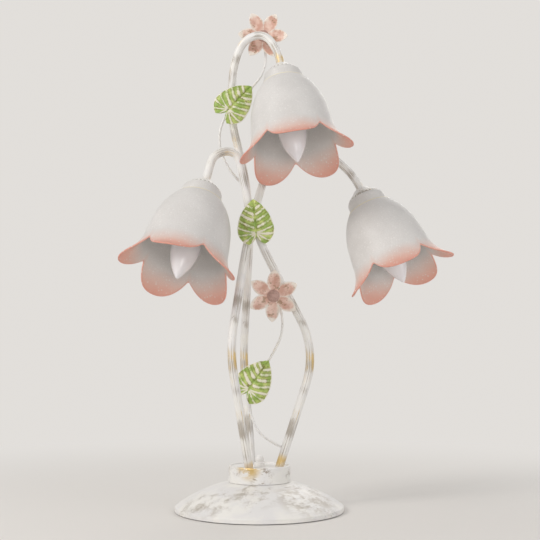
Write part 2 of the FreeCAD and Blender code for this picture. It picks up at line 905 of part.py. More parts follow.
def make_leads():
    """A two-core lead in each stem, from the terminal block to the lampholder."""
    for lamp, place in zip(("right", "top", "left"), (-1, 0, 1)):
        stem = stem_points(lamp)
        level = lead_level().value
        x = number("lead_spacing") * place
        rising = (stem[1] - stem[0]).normalize()
        below = stem[0] - rising * number("lead_below_stem")
        entry = Vector(x, terminal_front().value + number("lead_into_terminal"), level)
        corner = Vector(x, below.y, level)
        inner_end = stem[-1] + (stem[-1] - stem[-2]).normalize() * number("lead_into_holder")
        stem_path = bent_path(stem, number("stem_first_bend"))
        approach = bent_path([entry, corner, below, stem[0]])
        tail = Part.LineSegment(stem[-1], inner_end).toShape()
        path = Part.Wire(approach.OrderedEdges + stem_path.OrderedEdges + [tail])
        shaped(f"lead_{lamp}", rod_along(path, number("lead_radius")))


# ---------------------------------------------------------------- lamps

def make_cap(lamp):
    """The fluted cup that hides the lampholder and shields the top of the glass."""
    wall = size("cap_wall")
    flange = size("cap_flange_radius")
    cup = size("cap_cup_radius")
    flare = size("cap_flare_height")
    crown = size("cap_height")
    side_top = crown - size("cap_crown_drop")
    bead = size("cap_bead")
    hole = size("stem_radius") + size("sliding_gap")
    groove = size("cap_groove_depth")
    crown_radius = size("cap_crown_radius")
    crown_level = crown - size("cap_crown_sink")
    half_wall = wall * 0.5
    half_bead = bead * 0.5
    body = turned(f"cap_{lamp}", [
        (hole, crown),
        (crown_radius, crown_level),
        (cup - half_bead, side_top + half_bead, -bead),
        (cup, side_top - bead),
        (cup, flare + wall),
        (cup - groove, flare),
        (cup + half_wall, flare - wall, size("cap_flare_bend")),
        (flange - half_wall, wall),
        (flange, half_wall),
        (flange - half_wall, 0),
        (flange - wall, 0, -size("cap_flare_inner_bend")),
        (cup - wall, flare - half_wall),
        (cup - wall - groove, flare + half_wall),
        (cup - wall - groove, side_top - wall),
        (crown_radius, crown_level - wall),
        (hole, crown - wall),
    ])
    flutes_bottom = flare + wall
    sketch = sketch_on(body, f"cap_{lamp}_flute", "XY_Plane", flutes_bottom)
    draw_circle(sketch, cup + size("flute_radius") - size("flute_depth"), 0, size("flute_radius"))
    flute = pocket_up(body, sketch, side_top - bead - half_bead - flutes_bottom)
    around(body, flute, sketch, size("flute_count"))
    piece(body, f"cap_{lamp}", lamp_frame(lamp))


def half_gap():
    """What is left between two faces that all but touch."""
    return size("seat_gap") * 0.5


def make_cap_nut(lamp):
    """The locknut that clamps the cap between the stem's thread and the lampholder."""
    bore = size("stem_radius") + size("sliding_gap")
    bottom = size("holder_top") + half_gap()
    body = hex_nut(f"cap_nut_{lamp}", size("cap_nut_radius"), bore, bottom, size("cap_nut_height"))
    piece(body, f"cap_nut_{lamp}", lamp_frame(lamp))


def make_holder(lamp):
    """The lampholder: threaded socket for the stem, wiring chamber, floor and bulb bore."""
    frame = lamp_frame(lamp)
    outer = size("holder_radius")
    top = size("holder_top")
    mouth = -size("holder_mouth")
    socket = size("stem_radius") + size("sliding_gap")
    socket_bottom = top - size("holder_socket_depth")
    chamber = size("holder_chamber_radius")
    floor_top = size("holder_floor_top")
    floor = floor_top - size("holder_floor_thickness")
    rivet = size("contact_rivet_radius") + size("sliding_gap")
    flange_bottom = size("neck_top") + size("seat_gap")
    flange_top = flange_bottom + size("holder_flange_thickness")
    bore = size("holder_shell_radius") + size("sliding_gap")
    piece(turned(f"holder_{lamp}", [
        (socket, top),
        (chamber, top),
        (outer, flange_top + size("holder_shoulder")),
        (outer, flange_top),
        (size("holder_flange_radius"), flange_top),
        (size("holder_flange_radius"), flange_bottom),
        (outer, flange_bottom),
        (outer, mouth),
        (bore, mouth),
        (bore, floor),
        (rivet, floor),
        (rivet, floor_top),
        (chamber, floor_top),
        (chamber, socket_bottom - size("holder_floor_thickness")),
        (socket, socket_bottom),
    ]), f"holder_{lamp}", frame)
    shell = size("holder_shell_radius")
    shell_wall = size("holder_shell_wall")
    shell_bottom = mouth + size("holder_shell_setback")
    shell_top = floor - size("contact_thickness") - size("holder_shell_setback")
    piece(turned(f"holder_shell_{lamp}", [
        (shell - shell_wall, shell_bottom),
        (shell, shell_bottom),
        (shell, shell_top),
        (shell - shell_wall, shell_top),
    ]), f"holder_shell_{lamp}", frame)
    contact_top = floor - size("sliding_gap")
    contact = contact_top - size("contact_thickness")
    piece(turned(f"holder_contact_{lamp}", [
        (0, contact),
        (size("contact_radius"), contact),
        (size("contact_radius"), contact_top),
        (size("contact_rivet_radius"), contact_top),
        (size("contact_rivet_radius"), floor_top + size("contact_thickness")),
        (0, floor_top + size("contact_thickness")),
    ]), f"holder_contact_{lamp}", frame)
    ring_top = size("neck_top") - size("glass_wall") - size("seat_gap")
    ring_bottom = ring_top - size("ring_height")
    ring_bore = outer + size("sliding_gap")
    bevel = size("ring_bevel")
    body = turned(f"shade_ring_{lamp}", [
        (ring_bore, ring_bottom),
        (size("ring_radius") - bevel, ring_bottom),
        (size("ring_radius"), ring_bottom + bevel),
        (size("ring_radius"), ring_top),
        (ring_bore, ring_top),
    ])
    piece(body, f"shade_ring_{lamp}", frame)


def make_shade(lamp):
    """The glass: a neck with a hole, a bell, and petals that flare out at the mouth."""
    wall = size("glass_wall")
    neck = size("neck_radius")
    neck_top = size("neck_top")
    hole = size("neck_hole_radius")
    shoulder = size("shoulder_radius")
    shoulder_level = -size("clear_gap")
    belly, belly_depth = size("belly_radius"), -size("belly_depth")
    waist, waist_depth = size("waist_radius"), -size("waist_depth")
    tip, tip_depth = size("petal_tip_radius"), -size("petal_tip_depth")
    bevel = size("neck_bevel")
    half_wall = wall * 0.5
    body = turned(f"shade_{lamp}", [
        (hole, neck_top),
        (neck - bevel, neck_top),
        (neck, neck_top - bevel),
        (neck, shoulder_level + size("neck_foot")),
        (shoulder, shoulder_level, -size("shoulder_bend")),
        (belly, belly_depth),
        (waist, waist_depth, size("petal_flare")),
        (tip, tip_depth),
        (tip - size("petal_lip"), tip_depth, -(size("petal_flare") + wall)),
        (waist - wall, waist_depth),
        (belly - wall, belly_depth, size("shoulder_bend") - wall),
        (shoulder - half_wall, shoulder_level - wall),
        (neck - wall, shoulder_level - half_wall),
        (neck - wall, neck_top - wall),
        (hole, neck_top - wall),
    ])
    notch = -size("petal_notch_depth")
    half_pitch = Size(math.sin(math.pi / number("petal_count")), "sin(180 deg / Sizes.petal_count)")
    reach = tip * half_pitch
    drop = notch - tip_depth
    round_edge = (reach * reach + drop * drop) / (drop * 2)
    below = tip_depth - drop
    sketch = sketch_on(body, f"shade_{lamp}_notch", "YZ_Plane")
    draw(sketch, [
        (0, notch, round_edge),
        (reach, tip_depth),
        (reach, below),
        (-reach, below),
        (-reach, tip_depth, round_edge),
    ])
    cut = pocket_up(body, sketch, tip + wall)
    axis = sketch_on(body, f"shade_{lamp}_axis", "XY_Plane")
    around(body, cut, axis, size("petal_count"))
    piece(body, f"shade_{lamp}", lamp_frame(lamp))


def make_bulb(lamp):
    """A candle bulb: contact tip, threaded cap and opal glass with a drawn-out end."""
    frame = lamp_frame(lamp)
    contact = -size("bulb_contact_depth")
    tip_top = contact - size("bulb_tip_height")
    cap = size("bulb_cap_radius")
    piece(turned(f"bulb_tip_{lamp}", [
        (0, contact),
        (size("bulb_tip_crown"), contact),
        (size("bulb_tip_radius"), tip_top + size("bulb_tip_edge")),
        (size("bulb_tip_radius"), tip_top),
        (0, tip_top),
    ]), f"bulb_tip_{lamp}", frame)
    cap_top = tip_top - size("sliding_gap")
    cap_end = tip_top - size("bulb_cap_length")
    pitch = size("bulb_thread_pitch")
    ridge = size("bulb_thread_height")
    bevel = size("bulb_cap_bevel")
    wall = size("bulb_cap_wall")
    flare = cap_end + size("bulb_cap_flare")
    crest, root = 0.4, 0.8
    outline = [(cap - bevel, cap_top), (cap, cap_top - bevel)]
    for turn in range(count("bulb_thread_turns")):
        start = cap_top - bevel * 2 - pitch * turn
        outline += [(cap, start), (cap + ridge, start - pitch * crest), (cap, start - pitch * root)]
    outline += [
        (cap, flare),
        (size("bulb_neck_radius"), cap_end),
        (size("bulb_neck_radius") - wall, cap_end),
        (cap - wall, flare),
        (cap - wall, cap_top - bevel),
        (cap - bevel, cap_top - wall),
    ]
    piece(turned(f"bulb_cap_{lamp}", outline), f"bulb_cap_{lamp}", frame)
    glass_wall = size("bulb_glass_wall")
    start = cap_end - size("sliding_gap")
    neck = size("bulb_neck_radius") - wall
    swell = neck + size("bulb_neck_swell")
    neck_end = start - size("bulb_neck_length")
    widest, widest_depth = size("bulb_radius"), -size("bulb_widest_depth")
    end_depth = -size("bulb_end_depth")
    end = size("bulb_end_radius")
    end_start = end_depth + size("bulb_end_height")
    piece(turned(f"bulb_glass_{lamp}", [
        (neck, start),
        (swell, neck_end, size("bulb_shoulder_bend")),
        (widest, widest_depth, -size("bulb_side_bend")),
        (end, end_start, -size("bulb_end_bend")),
        (0, end_depth),
        (0, end_depth + glass_wall),
        (end - glass_wall, end_start + glass_wall * 0.5, size("bulb_side_bend")),
        (widest - glass_wall, widest_depth, -size("bulb_shoulder_bend")),
        (swell - glass_wall, neck_end),
        (neck - glass_wall, start),
    ]), f"bulb_glass_{lamp}", frame)


# ---------------------------------------------------------------- vines, leaves, flowers

def make_vines():
    for vine, bends in VINE_BENDS.items():
        flower = VINE_ENDS[vine]["flower"]
        end = point_of(f"{flower}_flower") + point_of(f"{vine}_vine_end")
        path = bent_path(points_of(f"{vine}_vine", len(bends)) + [end])
        shaped(f"vine_{vine}", rod_along(path, number("vine_radius")))


def crowned(name, blank, outer_radius, thickness, x, z):
    """Presses a flat blank to a shallow dish: what it shares with a thin ball shell
    whose centre is at x, z."""
    outer = DOC.addObject("Part::Sphere", f"{name}_outer_ball")
    inner = DOC.addObject("Part::Sphere", f"{name}_inner_ball")
    inner_radius = outer_radius - thickness
    for ball, radius in ((outer, outer_radius), (inner, inner_radius)):
        ball.Radius = radius.value
        ball.setExpression("Radius", radius.text)
        ball.Placement.Base = Vector(x.value, 0, z.value)
        if "Sizes" in x.text:
            ball.setExpression("Placement.Base.x", x.text)
        ball.setExpression("Placement.Base.z", z.text)
    shell = DOC.addObject("Part::Cut", f"{name}_shell")
    shell.Base = outer
    shell.Tool = inner
    pressed = DOC.addObject("Part::Common", name)
    pressed.Base = shell
    pressed.Tool = blank
    return pressed


def make_leaves():
    """Heart-shaped leaves, crowned to the front: the notch is at the local origin and
    the tip along local X."""
    tip = size("leaf_tip")
    lobe = size("leaf_lobe")
    half = size("leaf_half_width")
    widest = size("leaf_widest")
    spread = size("leaf_lobe_spread")
    side_bend = size("leaf_side_bend")
    lobe_bend = size("leaf_lobe_bend")
    notch_bend = size("leaf_notch_bend")
    crown = size("leaf_crown_radius")
    for leaf in LEAF_PLACES:
        blank = new_body(f"leaf_{leaf}_blank")
        sketch = sketch_on(blank, f"leaf_{leaf}_outline", "XY_Plane", -(crown * 0.5))
        draw(sketch, [
            (tip, 0, side_bend),
            (widest, half, lobe_bend),
            (-lobe, spread, notch_bend),
            (0, 0, notch_bend),
            (-lobe, -spread, lobe_bend),
            (widest, -half, side_bend),
        ])
        padded_up(blank, sketch, crown)
        middle = (tip - lobe) * 0.5
        pressed = crowned(f"leaf_{leaf}", blank, crown, size("leaf_thickness"), middle, -crown)
        piece(pressed, f"leaf_{leaf}", front_frame(f"{leaf}_leaf"))


def make_flowers():
    """Six pointed petals cupped to the front, with a domed button riveted in the middle."""
    reach = size("flower_radius")
    half = size("flower_petal_half_width")
    start = size("flower_petal_root")
    crown = size("flower_crown_radius")
    widest = size("flower_petal_widest")
    root_bend = size("flower_petal_root_bend")
    tip_bend = size("flower_petal_tip_bend")
    for flower in FLOWER_PLACES:
        blank = new_body(f"flower_{flower}_blank")
        disc = sketch_on(blank, f"flower_{flower}_disc", "XY_Plane", -(crown * 0.5))
        draw_circle(disc, 0, 0, size("flower_disc_radius"))
        padded_up(blank, disc, crown)
        sketch = sketch_on(blank, f"flower_{flower}_petal", "XY_Plane", -(crown * 0.5))
        draw(sketch, [
            (start, 0, root_bend),
            (widest, -half, tip_bend),
            (reach, 0, tip_bend),
            (widest, half, root_bend),
        ])
        petal = padded_up(blank, sketch, crown)
        around(blank, petal, disc, size("flower_petal_count"))
        back = crown + size("flower_thickness")
        pressed = crowned(f"flower_{flower}", blank, back, size("flower_thickness"), as_size(0), crown)
        frame = front_frame(f"{flower}_flower")
        piece(pressed, f"flower_{flower}", frame)
        button = size("flower_button_radius")
        height = size("flower_button_height")
        ball = (button * button + height * height) / (height * 2)
        seat = button * button / (crown * 2) + half_gap()
        piece(turned(f"flower_button_{flower}", [
            (0, seat),
            (button, seat, ball),
            (0, seat + height),
        ]), f"flower_button_{flower}", frame)


# ---------------------------------------------------------------- build and export

def check_document():
    DOC.recompute()
    failed = [item.Name for item in DOC.Objects if {"Invalid", "Error"} & set(item.State)]
    if failed:
        raise RuntimeError(f"failed features: {failed}")
    for item in PIECES:
        if item.Shape.isNull() or not item.Shape.isValid() or item.Shape.Volume <= 0:
            raise RuntimeError(f"{item.Label} has no sound shape")


def export_pieces():
    os.makedirs("parts", exist_ok=True)
    for item in PIECES:
        item.Shape.exportStep(f"parts/{item.Label}.step")
        solids = len(item.Shape.Solids)
        print(f"{item.Label:24s} {solids} solid(s) {item.Shape.Volume / 1000:9.2f} cm3")
    print(len(PIECES), "pieces")


fill_sheet()
make_dome()
make_weight()
make_plate_and_felt()
make_screws()
make_collar()
make_stud_and_finial()
make_stem_nuts()
make_terminal_block()
make_grommet()
make_stems()
make_leads()
for lamp_name in LAMPS:
    make_cap(lamp_name)
    make_cap_nut(lamp_name)
    make_holder(lamp_name)
    make_shade(lamp_name)
    make_bulb(lamp_name)
make_vines()
make_leaves()
make_flowers()
check_document()
export_pieces()
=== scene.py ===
# %% [markdown]
# # A tulip shade table lamp
# Three bent tubes rise from a collar on an enamelled dome. Each carries a fluted cap, a
# glass tulip and a candle bulb, and wire vines with pressed leaves and flowers grow between
# them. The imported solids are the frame: what is right in them stays and gets a finish, and
# what they only sketch, such as the glass petals and the leaves' veins, is modelled here.

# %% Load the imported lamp
import math

import bpy
from mathutils import Matrix, Vector


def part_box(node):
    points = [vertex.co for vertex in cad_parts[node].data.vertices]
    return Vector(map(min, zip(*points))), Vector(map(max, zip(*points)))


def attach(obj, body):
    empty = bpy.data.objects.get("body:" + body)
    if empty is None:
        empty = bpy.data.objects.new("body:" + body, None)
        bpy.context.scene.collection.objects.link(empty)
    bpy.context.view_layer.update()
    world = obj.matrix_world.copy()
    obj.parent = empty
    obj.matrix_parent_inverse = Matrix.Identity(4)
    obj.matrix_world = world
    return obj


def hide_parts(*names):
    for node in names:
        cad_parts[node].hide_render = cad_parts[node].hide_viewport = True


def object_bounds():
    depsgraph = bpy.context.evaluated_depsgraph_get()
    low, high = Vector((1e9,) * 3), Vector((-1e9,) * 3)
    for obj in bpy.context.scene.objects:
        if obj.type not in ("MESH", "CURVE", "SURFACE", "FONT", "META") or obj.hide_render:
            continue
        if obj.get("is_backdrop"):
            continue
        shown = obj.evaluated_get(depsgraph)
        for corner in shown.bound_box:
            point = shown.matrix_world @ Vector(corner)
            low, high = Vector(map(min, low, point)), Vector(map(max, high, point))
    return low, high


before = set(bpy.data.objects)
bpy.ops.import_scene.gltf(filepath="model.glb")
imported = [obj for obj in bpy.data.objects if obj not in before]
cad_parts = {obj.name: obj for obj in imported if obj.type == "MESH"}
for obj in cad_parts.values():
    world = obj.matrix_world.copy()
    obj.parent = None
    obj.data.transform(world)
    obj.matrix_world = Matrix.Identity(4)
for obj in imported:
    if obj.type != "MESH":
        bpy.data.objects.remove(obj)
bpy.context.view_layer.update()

MM = 0.001

# %% [markdown]
# ## Camera and light
# The camera stands where the photographer stood: 1.13 m in front, a little low, looking
# slightly up. A long lens keeps the base from looking swollen. The light is that of a
# product studio, one large soft lamp from the front left, a weaker one on the right and a
# bright room, so that an enamel shows about the colour it is given.

# %% Camera
CAMERA_PLACE = (0.01254, -1.12856, 0.18180)
CAMERA_TILT = 95.277
CAMERA_LENS = 62.25

bpy.ops.object.select_all(action="DESELECT")
bpy.ops.object.camera_add(location=CAMERA_PLACE, rotation=(math.radians(CAMERA_TILT), 0, 0))
camera = bpy.context.object
camera.name = "camera"
camera.data.lens = CAMERA_LENS
camera.data.clip_start = 0.01
bpy.context.scene.camera = camera
print("camera:", tuple(camera.location))

# %% Lamps
AIM = Vector((0.02, 0.0, 0.30))


def soft_lamp(name, place, width, power, colour):
    """A large square lamp that faces the middle of the object."""
    bpy.ops.object.light_add(type="AREA", location=place)
    lamp = bpy.context.object
    lamp.name = name
    lamp.data.size = width
    lamp.data.energy = power
    lamp.data.color = colour
    lamp.rotation_euler = (AIM - Vector(place)).to_track_quat("-Z", "Y").to_euler()
    print(name, "at", place, power, "W")


soft_lamp("key", (-1.35, -1.00, 1.25), 0.6, 17.0, (1.0, 0.985, 0.96))
soft_lamp("front", (0.30, -1.75, 0.10), 0.7, 4.5, (1.0, 0.98, 0.96))
soft_lamp("fill", (1.5, -0.9, 0.8), 1.1, 5.0, (0.95, 0.975, 1.0))
soft_lamp("rim", (0.5, 1.5, 1.2), 1.0, 7.0, (1.0, 0.98, 0.95))

# %% [markdown]
# ## Helpers for nodes
# A finish is a small network. One helper places a node and fills its sockets, either with a
# number or with a link, and another starts a group with named inputs and outputs, so that an
# effect is built once and set differently in each enamel.

# %% Node helpers


def node(tree, kind, inputs=None, **settings):
    """Adds a node; each input is a number, a colour or another node's output."""
    made = tree.nodes.new(kind)
    for name, value in settings.items():
        setattr(made, name, value)
    for name, value in (inputs or {}).items():
        if isinstance(value, bpy.types.NodeSocket):
            tree.links.new(value, made.inputs[name])
        else:
            made.inputs[name].default_value = value
    return made


def math_of(tree, operation, first, second=0.0, third=0.5, clamp=False):
    """Only MULTIPLY_ADD reads the third value."""
    inputs = {0: first, 1: second, 2: third}
    return node(tree, "ShaderNodeMath", inputs, operation=operation, use_clamp=clamp).outputs[0]


def scaled(tree, value, factor):
    return math_of(tree, "MULTIPLY", value, factor)


def mixed(tree, share, first, second):
    """One colour over another."""
    mix = node(tree, "ShaderNodeMix", data_type="RGBA")
    for socket, value in ((mix.inputs[0], share), (mix.inputs[6], first), (mix.inputs[7], second)):
        if isinstance(value, bpy.types.NodeSocket):
            tree.links.new(value, socket)
        else:
            socket.default_value = value if isinstance(value, float) else (*value, 1.0)
    return mix.outputs[2]


def ramp(tree, value, low, high, start=0.0, end=1.0):
    """A smooth step from low to high."""
    inputs = {"Value": value, "From Min": low, "From Max": high, "To Min": start, "To Max": end}
    return node(tree, "ShaderNodeMapRange", inputs, interpolation_type="SMOOTHSTEP").outputs["Result"]


def new_group(name, inputs, outputs):
    group = bpy.data.node_groups.new(name, "ShaderNodeTree")
    for label, kind, default in inputs:
        socket = group.interface.new_socket(label, in_out="INPUT", socket_type=kind)
        socket.default_value = default
    for label in outputs:
        group.interface.new_socket(label, in_out="OUTPUT", socket_type="NodeSocketFloat")
    return group, group.nodes.new("NodeGroupInput").outputs, group.nodes.new("NodeGroupOutput").inputs


def placed(tree, group, inputs):
    """A group as a node in a material."""
    return node(tree, "ShaderNodeGroup", inputs, node_tree=group).outputs


def new_material(name, roughness, metallic=0.0):
    """An empty material: its tree, its shader and the piece's own coordinates."""
    material = bpy.data.materials.new(name)
    material.use_nodes = True
    tree = material.node_tree
    shader = tree.nodes["Principled BSDF"]
    shader.inputs["Roughness"].default_value = roughness
    shader.inputs["Metallic"].default_value = metallic
    coordinates = tree.nodes.new("ShaderNodeTexCoord").outputs["Object"]
    return material, tree, shader, coordinates


def bumped(tree, shader, height, depth_mm):
    bump = node(tree, "ShaderNodeBump", {"Height": height, "Strength": 1.0, "Distance": depth_mm * MM})
    tree.links.new(bump.outputs["Normal"], shader.inputs["Normal"])


print("node helpers ready")

# %% [markdown]
# ## Floor and room
# The photograph's coloured paper is not part of the lamp, so the lamp stands on a plain pale
# floor. The floor keeps the shadow near the base and fades into the pale room further off,
# so no horizon line crosses the picture.

# %% Floor and world
ROOM = (0.76, 0.735, 0.705)
FLOOR = (0.78, 0.755, 0.725)
ROOM_LIGHT = 0.50
FLOOR_RADIUS = 6.0
FLOOR_FADES = (0.20, 0.95)

bpy.ops.object.select_all(action="DESELECT")
bpy.ops.mesh.primitive_circle_add(vertices=96, radius=FLOOR_RADIUS, fill_type="NGON", location=(0, 0, 0))
floor = bpy.context.object
floor.name = "floor"
floor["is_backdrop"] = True
paper, tree, shader, coordinates = new_material("pale_floor", 0.9)
shader.inputs["Base Color"].default_value = (*FLOOR, 1.0)
shader.inputs["Specular IOR Level"].default_value = 0.1
away = node(tree, "ShaderNodeVectorMath", {0: coordinates}, operation="LENGTH").outputs["Value"]
glow = node(tree, "ShaderNodeEmission", {"Color": (*ROOM, 1.0), "Strength": 1.0})
fade = node(tree, "ShaderNodeMixShader", {0: ramp(tree, away, *FLOOR_FADES)})
tree.links.new(shader.outputs[0], fade.inputs[1])
tree.links.new(glow.outputs[0], fade.inputs[2])
tree.links.new(fade.outputs[0], tree.nodes["Material Output"].inputs["Surface"])
floor.data.materials.append(paper)

world = bpy.data.worlds.new("pale_room")
bpy.context.scene.world = world
world.use_nodes = True
tree = world.node_tree
tree.nodes.clear()
path = tree.nodes.new("ShaderNodeLightPath").outputs
seen = math_of(tree, "ADD", path["Is Camera Ray"], path["Is Glossy Ray"])
seen = math_of(tree, "ADD", seen, path["Is Transmission Ray"], clamp=True)
lit = node(tree, "ShaderNodeBackground", {"Color": (1.0, 0.99, 0.98, 1.0), "Strength": ROOM_LIGHT})
shown = node(tree, "ShaderNodeBackground", {"Color": (*ROOM, 1.0), "Strength": 1.0})
both = node(tree, "ShaderNodeMixShader", {0: seen})
tree.links.new(lit.outputs[0], both.inputs[1])
tree.links.new(shown.outputs[0], both.inputs[2])
tree.links.new(both.outputs[0], node(tree, "ShaderNodeOutputWorld").inputs["Surface"])
bpy.context.scene.view_settings.view_transform = "Standard"
print("room and floor ready")

# %% [markdown]
# ## Shared effects
# The enamel was aged by hand: an almost dry brush was dragged over it with grey-brown and
# with gold, so the colour broke up into thin streaks. A texture of stretched noise, cut off
# at a threshold and thinned out in patches, gives the same broken streaks. A second group
# gives a soft spot round a point, for the places where the brush was worked harder, and a
# third gives the fine grain that every surface has.

# %% Dry brush, spot and grain
dry_brush, given, result = new_group(
    "dry_brush",
    [
        ("Vector", "NodeSocketVector", (0, 0, 0)),
        ("Length mm", "NodeSocketFloat", 40.0),
        ("Width mm", "NodeSocketFloat", 1.5),
        ("Patch mm", "NodeSocketFloat", 40.0),
        ("Threshold", "NodeSocketFloat", 0.6),
    ],
    ["Mask"],
)
to_mm = {0: given["Vector"], "Scale": 1 / MM}
in_mm = node(dry_brush, "ShaderNodeVectorMath", to_mm, operation="SCALE").outputs[0]


def divided_by(length, width):
    """The place in mm, divided by a length on X and a width on Y and Z."""
    size = node(dry_brush, "ShaderNodeCombineXYZ", {0: length, 1: width, 2: width}).outputs[0]
    return node(dry_brush, "ShaderNodeVectorMath", {0: in_mm, 1: size}, operation="DIVIDE").outputs[0]


stretched = divided_by(given["Length mm"], given["Width mm"])
wide = divided_by(given["Patch mm"], given["Patch mm"])
fine_noise = {"Vector": stretched, "Scale": 1.0, "Detail": 4.0, "Roughness": 0.6}
streaks = node(dry_brush, "ShaderNodeTexNoise", fine_noise)
patches = node(dry_brush, "ShaderNodeTexNoise", {"Vector": wide, "Scale": 1.0, "Detail": 2.0})
lifted = math_of(dry_brush, "MULTIPLY_ADD", patches.outputs[0], 1.1, -0.55)
total = math_of(dry_brush, "ADD", streaks.outputs[0], lifted)
over = math_of(dry_brush, "SUBTRACT", total, given["Threshold"])
dry_brush.links.new(ramp(dry_brush, over, 0.0, 0.09), result["Mask"])

spot, given, result = new_group(
    "spot",
    [
        ("Vector", "NodeSocketVector", (0, 0, 0)),
        ("Centre", "NodeSocketVector", (0, 0, 0)),
        ("Radius", "NodeSocketFloat", 0.02),
    ],
    ["Mask"],
)
ends = {0: given["Vector"], 1: given["Centre"]}
away = node(spot, "ShaderNodeVectorMath", ends, operation="DISTANCE").outputs["Value"]
spot.links.new(ramp(spot, math_of(spot, "DIVIDE", away, given["Radius"]), 1.0, 0.35), result["Mask"])

grain, given, result = new_group(
    "grain",
    [("Vector", "NodeSocketVector", (0, 0, 0)), ("Size mm", "NodeSocketFloat", 1.0)],
    ["Height"],
)
finer = math_of(grain, "DIVIDE", 1 / MM, given["Size mm"])
grain_noise = {"Vector": given["Vector"], "Scale": finer, "Detail": 3.0, "Roughness": 0.55}
grain.links.new(node(grain, "ShaderNodeTexNoise", grain_noise).outputs[0], result["Height"])


def streaked(tree, vector, length, width, patch, threshold):
    """Dry brush marks, sizes in mm; a higher threshold leaves fewer of them."""
    sizes = {"Length mm": length, "Width mm": width, "Patch mm": patch}
    return placed(tree, dry_brush, {"Vector": vector, **sizes, "Threshold": threshold})[0]


def grained(tree, vector, size):
    return placed(tree, grain, {"Vector": vector, "Size mm": size})[0]


print("groups:", [group.name for group in bpy.data.node_groups])

# %% [markdown]
# ## Ivory enamel
# One enamel covers the dome, the collar, the stems, the caps and the vines. It is built in a
# function, because each of them was brushed in another direction and to another degree: along
# the stems, round the collar, and slantwise over the dome. Gold was dabbed on the stems' feet
# and the collar's rim.

# %% Enamel
IVORY = (0.86, 0.84, 0.80)
COOL_IVORY = (0.79, 0.775, 0.765)
GREY_BROWN = (0.31, 0.26, 0.20)
UMBER = (0.22, 0.15, 0.085)
STONE = (0.42, 0.37, 0.31)
GOLD = (0.66, 0.45, 0.13)


def ivory_enamel(name, turn, streak, dabs=(), rub=0.62, gild=0.70, chips=0.80):
    """turn aims the brush, or names the stored direction that it follows; streak is its
    length and width in mm; each dab is a place, a radius, a colour and a threshold."""
    material, tree, shader, coordinates = new_material(name, 0.42)
    if isinstance(turn, str):
        aimed = node(tree, "ShaderNodeAttribute", attribute_name=turn).outputs["Vector"]
    else:
        aimed = node(tree, "ShaderNodeMapping", {"Vector": coordinates, "Rotation": turn}).outputs[0]
    shifted = node(tree, "ShaderNodeMapping", {"Vector": aimed, "Location": (0.31, 0.17, 0.23)}).outputs[0]
    length, width = streak
    rubbed = streaked(tree, aimed, length, width, 38.0, rub)
    gilded = streaked(tree, shifted, length * 0.8, width * 0.7, 30.0, gild)
    chipped = streaked(tree, shifted, 2.4, 1.3, 22.0, chips)
    cloud = grained(tree, coordinates, 26.0)
    colour = mixed(tree, ramp(tree, cloud, 0.35, 0.65), IVORY, COOL_IVORY)
    colour = mixed(tree, scaled(tree, rubbed, 0.75), colour, GREY_BROWN)
    colour = mixed(tree, scaled(tree, chipped, 0.75), colour, UMBER)
    for number, (place, radius, paint, threshold) in enumerate(dabs):
        here = placed(tree, spot, {"Vector": coordinates, "Centre": place, "Radius": radius})[0]
        shift = {"Vector": aimed, "Location": (0.1 * number, 0.07, 0.03)}
        moved = node(tree, "ShaderNodeMapping", shift).outputs[0]
        dry = streaked(tree, moved, length * 0.5, width * 0.6, 12.0, threshold)
        dab = math_of(tree, "MULTIPLY", here, dry)
        if paint == GOLD:
            gilded = math_of(tree, "MAXIMUM", gilded, dab)
        else:
            colour = mixed(tree, scaled(tree, dab, 0.8), colour, paint)
    colour = mixed(tree, scaled(tree, gilded, 0.85), colour, GOLD)
    tree.links.new(colour, shader.inputs["Base Color"])
    tree.links.new(scaled(tree, gilded, 0.7), shader.inputs["Metallic"])
    fine = grained(tree, aimed, 0.9)
    tree.links.new(ramp(tree, fine, 0.3, 0.7, 0.36, 0.52), shader.inputs["Roughness"])
    bumped(tree, shader, math_of(tree, "MULTIPLY_ADD", rubbed, 0.4, fine), 0.09)
    return material


ALONG_Z = (0, math.radians(90), 0)
STEM_FOOT = 0.012
stem_enamel = ivory_enamel(
    "ivory_stems", "flow", (110.0, 0.6), rub=0.56, gild=0.67, chips=0.84,
    dabs=[
        ((0.0255, -0.004, 0.058), STEM_FOOT, GOLD, 0.25),
        ((-0.0115, -0.021, 0.056), STEM_FOOT * 0.7, GOLD, 0.3),
    ],
)
vine_enamel = ivory_enamel("ivory_vines", "flow", (12.0, 0.4), rub=0.70, gild=0.78, chips=0.92)
collar_enamel = ivory_enamel(
    "ivory_collar", (0, 0, 0), (26.0, 0.9), rub=0.68, gild=0.80, chips=0.90,
    dabs=[
        ((0.003, -0.0375, 0.0435), 0.019, UMBER, 0.55),
        ((-0.012, -0.0335, 0.0545), 0.019, GOLD, 0.42),
        ((-0.027, -0.026, 0.049), 0.009, UMBER, 0.52),
        ((0.034, -0.014, 0.047), 0.011, GREY_BROWN, 0.50),
    ],
)
dome_enamel = ivory_enamel(
    "ivory_dome", (0, 0, math.radians(-32)), (42.0, 0.8), rub=0.66, gild=0.90, chips=0.93,
    dabs=[
        ((0.048, -0.058, 0.021), 0.038, STONE, 0.47),
        ((0.072, -0.036, 0.021), 0.026, STONE, 0.50),
        ((-0.050, -0.060, 0.020), 0.040, STONE, 0.58),
        ((-0.004, -0.056, 0.030), 0.040, STONE, 0.60),
    ],
)
print("enamels:", stem_enamel.name, collar_enamel.name, dome_enamel.name)

# %% [markdown]
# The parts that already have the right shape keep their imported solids. Only the materials in
# their slots change.

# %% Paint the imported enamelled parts


def paint(names, material):
    """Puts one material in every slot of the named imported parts."""
    for name in names:
        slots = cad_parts[name].data.materials
        if not slots:
            slots.append(material)
        for index in range(len(slots)):
            slots[index] = material
    print(material.name, "on", len(names), "parts")


